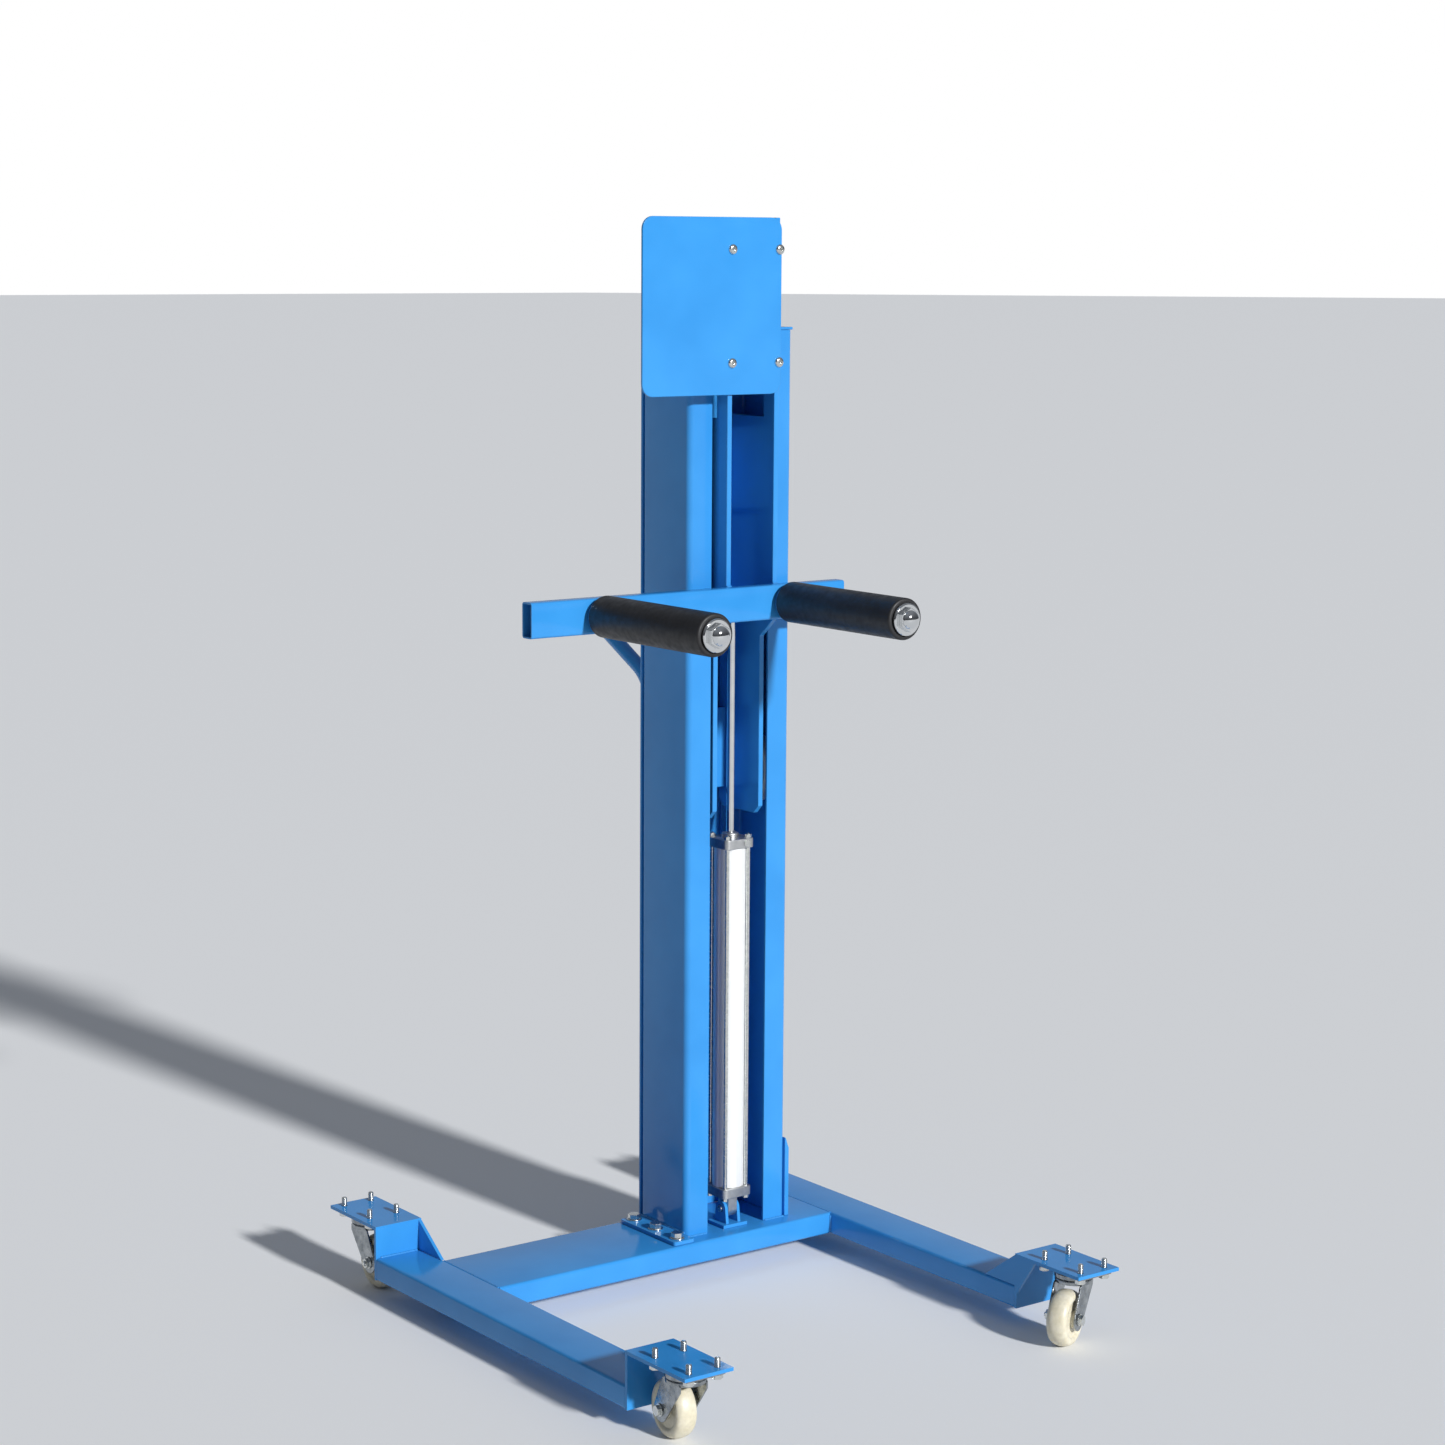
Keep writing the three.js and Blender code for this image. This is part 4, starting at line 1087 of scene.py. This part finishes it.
def supportRoller(side):
    # heights run from the crossbar to the tip
    node = f"roller_sleeve_{side}"
    low, high, middle = corners(node)
    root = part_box(f"roller_shaft_{side}")[1].y
    at = standing((middle.x, root, middle.z), (0, -1, 0))
    start = (root - high.y) / mm
    end = (root - low.y) / mm
    outer = (high.x - low.x) / mm / 2
    bore, rootRound, tipRound = roller["bore"], roller["rootRound"], roller["tipRound"]
    profile = [(bore, start), (outer - rootRound, start)]
    profile += arc(outer - rootRound, start + rootRound, rootRound, -90, 0, 4)
    profile += [(outer, end - tipRound)] + arc(outer - tipRound, end - tipRound, tipRound, 0, 90, 6)
    profile += hung(end, roller["recess"])
    profile += [(bore, profile[-1][1]), (bore, start)]
    turnedPiece(f"{node}_moulded", profile, at, roller["steps"],
                rubber, *standsFor(node), sharp=40)

    tip = end + roller["shaftPast"]
    shaft = [*roller["root"], (roller["shaft"], roller["root"][-1][1]), (roller["shaft"], tip), (0, tip)]
    turnedPiece(f"roller_shaft_{side}_turned", shaft, at, 64,
                zinc, *standsFor(f"roller_shaft_{side}"), 0.4, 2, 40)

    # end washer and domed nut
    capLow, capHigh, _ = corners(f"roller_cap_{side}")
    face = (root - capHigh.y) / mm
    nutStart = face + roller["washerThick"]
    bm = bmesh.new()
    addTurned(bm, [(radius, face + rise) for radius, rise in roller["washer"]], at, 72)
    addHex(bm, roller["across"], roller["nut"], at @ Matrix.Translation((0, 0, nutStart * mm)))
    domeStart = nutStart + roller["nut"]
    rise = (root - capLow.y) / mm - domeStart
    dome = [(0, domeStart - 1), (roller["dome"], domeStart - 1)]
    for i in range(roller["domeSteps"]):
        angle = math.pi / 2 * i / roller["domeSteps"]
        dome.append((roller["dome"] * math.cos(angle), domeStart + rise * math.sin(angle)))
    addTurned(bm, dome + [(0, domeStart + rise)], at, 64)
    finishPiece(f"roller_cap_{side}_domed", bm, chrome, *standsFor(f"roller_cap_{side}"), 0.6, 3, 30)

    inner, low, high = rollerWeld["inner"], rollerWeld["low"], rollerWeld["high"]
    bead = arc(rollerWeld["middle"], rollerWeld["rise"], rollerWeld["size"], -60, 90, 5)
    turnedPiece(f"roller_weld_{side}", [(inner, low), *bead, (inner, high), (inner, low)], at, 72,
                weldBlue, "carriage", "blue_paint", sharp=60)


supportRoller("left")
supportRoller("right")
print("support rollers made")


# ---- air valve, its lever and the tube

valve = {"edge": 1.6, "screwIn": 6, "screwUp": 40, "screwAside": 15, "screwSunk": 0.3,
         "head": 3.6, "curl": 2, "headLow": 0.2, "socket": ((1.2, 2.2), (1.2, 1), (0, 1))}


def valvePieces():
    low, high, middle = corners("air_valve")
    refine("air_valve", cast, valve["edge"], 4)
    curl = valve["curl"]
    dome = [(0, 0), (valve["head"], 0)] + arc(valve["head"] - curl, valve["headLow"], curl, 0, 90, 5)
    bm = bmesh.new()
    for x in (-valve["screwAside"], valve["screwAside"]):
        for up in (valve["screwIn"], valve["screwUp"]):
            at = standing((middle.x + x * mm, high.y - valve["screwSunk"] * mm, low.z + up * mm), (0, 1, 0))
            addTurned(bm, [*dome, *valve["socket"]], at, 24)
    finishPiece("valve_screws", bm, bolt, "frame", "aluminium", edge=0.15, sharp=40)


lever = {"lean": 35, "stick": ((0, 0), (3.5, 0), (3, 8), (2.8, 62), (4.5, 66)), "length": 74, "knob": 11,
         "knobStart": -65, "knobTurn": 155, "knobSteps": 12, "hub": 5, "hubHalf": 4.7}


def valveLever():
    # a tapered stick with a round knob, on a hub across its pivot
    pivot = Vector(joints["valve_lever_tilt"]["pos_m"])
    lean = math.radians(lever["lean"])
    stick = [*lever["stick"]]
    for i in range(lever["knobSteps"]):
        angle = math.radians(lever["knobStart"] + lever["knobTurn"] * i / lever["knobSteps"])
        stick.append((lever["knob"] * math.cos(angle), lever["length"] + lever["knob"] * math.sin(angle)))
    stick.append((0, lever["length"] + lever["knob"]))
    bm = bmesh.new()
    addTurned(bm, stick, standing(pivot, (0, math.sin(lean), math.cos(lean))), 40)
    hub = standing((pivot.x - lever["hubHalf"] * mm, pivot.y, pivot.z), (1, 0, 0))
    addTurned(bm, disc(lever["hub"], 0, 2 * lever["hubHalf"]), hub, 32)
    finishPiece("valve_lever_moulded", bm, acetal, *standsFor("valve_lever"), 0.4, 2, 40)


inlet = {"across": 10.2, "nut": 8, "barb": ((0, 8), (5.2, 8), (5.2, 10), (3.8, 11.5), (3.8, 20), (4.9, 21.5),
                                            (4.9, 25), (3, 29.8), (0, 29.8))}
airLine = {"radius": 4, "bend": 26, "steps": 12, "elbowEdge": 1.4,
           "collarBore": 4.2, "collar": 6.2, "lowCollar": 5.9, "collarLength": 3.6, "collarDrop": 3.4}


def airPieces():
    low, _, middle = corners("air_inlet")
    at = standing((low.x, middle.y, middle.z), (1, 0, 0))
    bm = bmesh.new()
    addHex(bm, inlet["across"], inlet["nut"], at)
    addTurned(bm, inlet["barb"], at, 32)
    finishPiece("air_inlet_nipple", bm, bolt, *standsFor("air_inlet"), 0.3, 2, 40)

    for name in ("air_elbow_high", "air_elbow_low"):
        refine(name, acetal, airLine["elbowEdge"], 3)
    low, high, middle = corners("air_tube")
    r = airLine["radius"] * mm
    x, y, z = middle.x, high.y - r, low.z + r
    path = roundedPath([(x, y, high.z), (x, y, z), (x, low.y, z)], airLine["bend"] * mm, airLine["steps"])
    addPipe("air_tube_run", path, r, tubing, *standsFor("air_tube"))
    bm = bmesh.new()
    upper = Matrix.Translation((x, y, high.z - airLine["collarDrop"] * mm))
    addTurned(bm, ring(airLine["collarBore"], airLine["collar"], 0, airLine["collarLength"]), upper, 32)
    lower = standing((x, low.y, z), (0, 1, 0))
    addTurned(bm, ring(airLine["collarBore"], airLine["lowCollar"], 0, airLine["collarLength"]), lower, 32)
    finishPiece("air_tube_collars", bm, acetal, "frame", "black_plastic", edge=0.3, sharp=40)


valvePieces()
valveLever()
airPieces()
print("air line made")


# ---- floor and light

floor = {"half": 80, "colour": "#F1F2F3", "roughness": 0.9}
light = {"sunTurn": 4, "sunUp": 24, "sunPower": 3.9, "sunSoft": 4, "sky": "#DFE6F2",
         "low": 0.06, "high": 0.28, "back": 0.38, "backWay": (0.6, 0.8, 0), "backFrom": 0.5, "backTo": 0.95}


def addFloor():
    bm = bmesh.new()
    bmesh.ops.create_grid(bm, x_segments=1, y_segments=1, size=floor["half"])
    mesh = bpy.data.meshes.new("floor")
    bm.to_mesh(mesh)
    bm.free()
    ground = bpy.data.objects.new("floor", mesh)
    material, _, _, shader = newMaterial("pale_floor")
    shader.inputs["Base Color"].default_value = hexColour(floor["colour"])
    shader.inputs["Roughness"].default_value = floor["roughness"]
    mesh.materials.append(material)
    scene.collection.objects.link(ground)


def addLights():
    sun = bpy.data.lights.new("key", "SUN")
    sun.energy = light["sunPower"]
    sun.angle = math.radians(light["sunSoft"])
    key = bpy.data.objects.new("key", sun)
    turn = math.radians(light["sunTurn"])
    up = math.radians(light["sunUp"])
    towards = Vector((math.sin(turn) * math.cos(up), -math.cos(turn) * math.cos(up), math.sin(up)))
    key.matrix_world = towards.to_track_quat("Z", "Y").to_matrix().to_4x4()
    scene.collection.objects.link(key)
    world = bpy.data.worlds.new("studio")
    scene.world = world
    world.use_nodes = True
    tree = world.node_tree
    tree.nodes.clear()
    way = addNode(tree, "ShaderNodeTexCoord").outputs["Generated"]
    height = addNode(tree, "ShaderNodeSeparateXYZ", {"Vector": way}).outputs["Z"]
    strength = mapped(tree, height, 0.0, 0.9, light["low"], light["high"])
    # a paler sweep behind the dolly, which its level faces mirror
    sweep = addNode(tree, "ShaderNodeVectorMath", {0: way, 1: light["backWay"]}, operation="DOT_PRODUCT")
    behind = mapped(tree, sweep.outputs["Value"], light["backFrom"], light["backTo"], 0.0, light["back"])
    total = addNode(tree, "ShaderNodeMath", {0: strength, 1: behind})
    dim = addNode(tree, "ShaderNodeBackground", {"Color": hexColour(light["sky"]), "Strength": total.outputs[0]})
    white = addNode(tree, "ShaderNodeBackground", {"Color": hexColour("#FFFFFF"), "Strength": 1.0})
    seen = addNode(tree, "ShaderNodeLightPath").outputs["Is Camera Ray"]
    mix = addNode(tree, "ShaderNodeMixShader", {0: seen, 1: dim.outputs[0], 2: white.outputs[0]})
    addNode(tree, "ShaderNodeOutputWorld", {"Surface": mix.outputs[0]})
    scene.view_settings.view_transform = "Standard"


addFloor()
addLights()
print("floor and lights set")
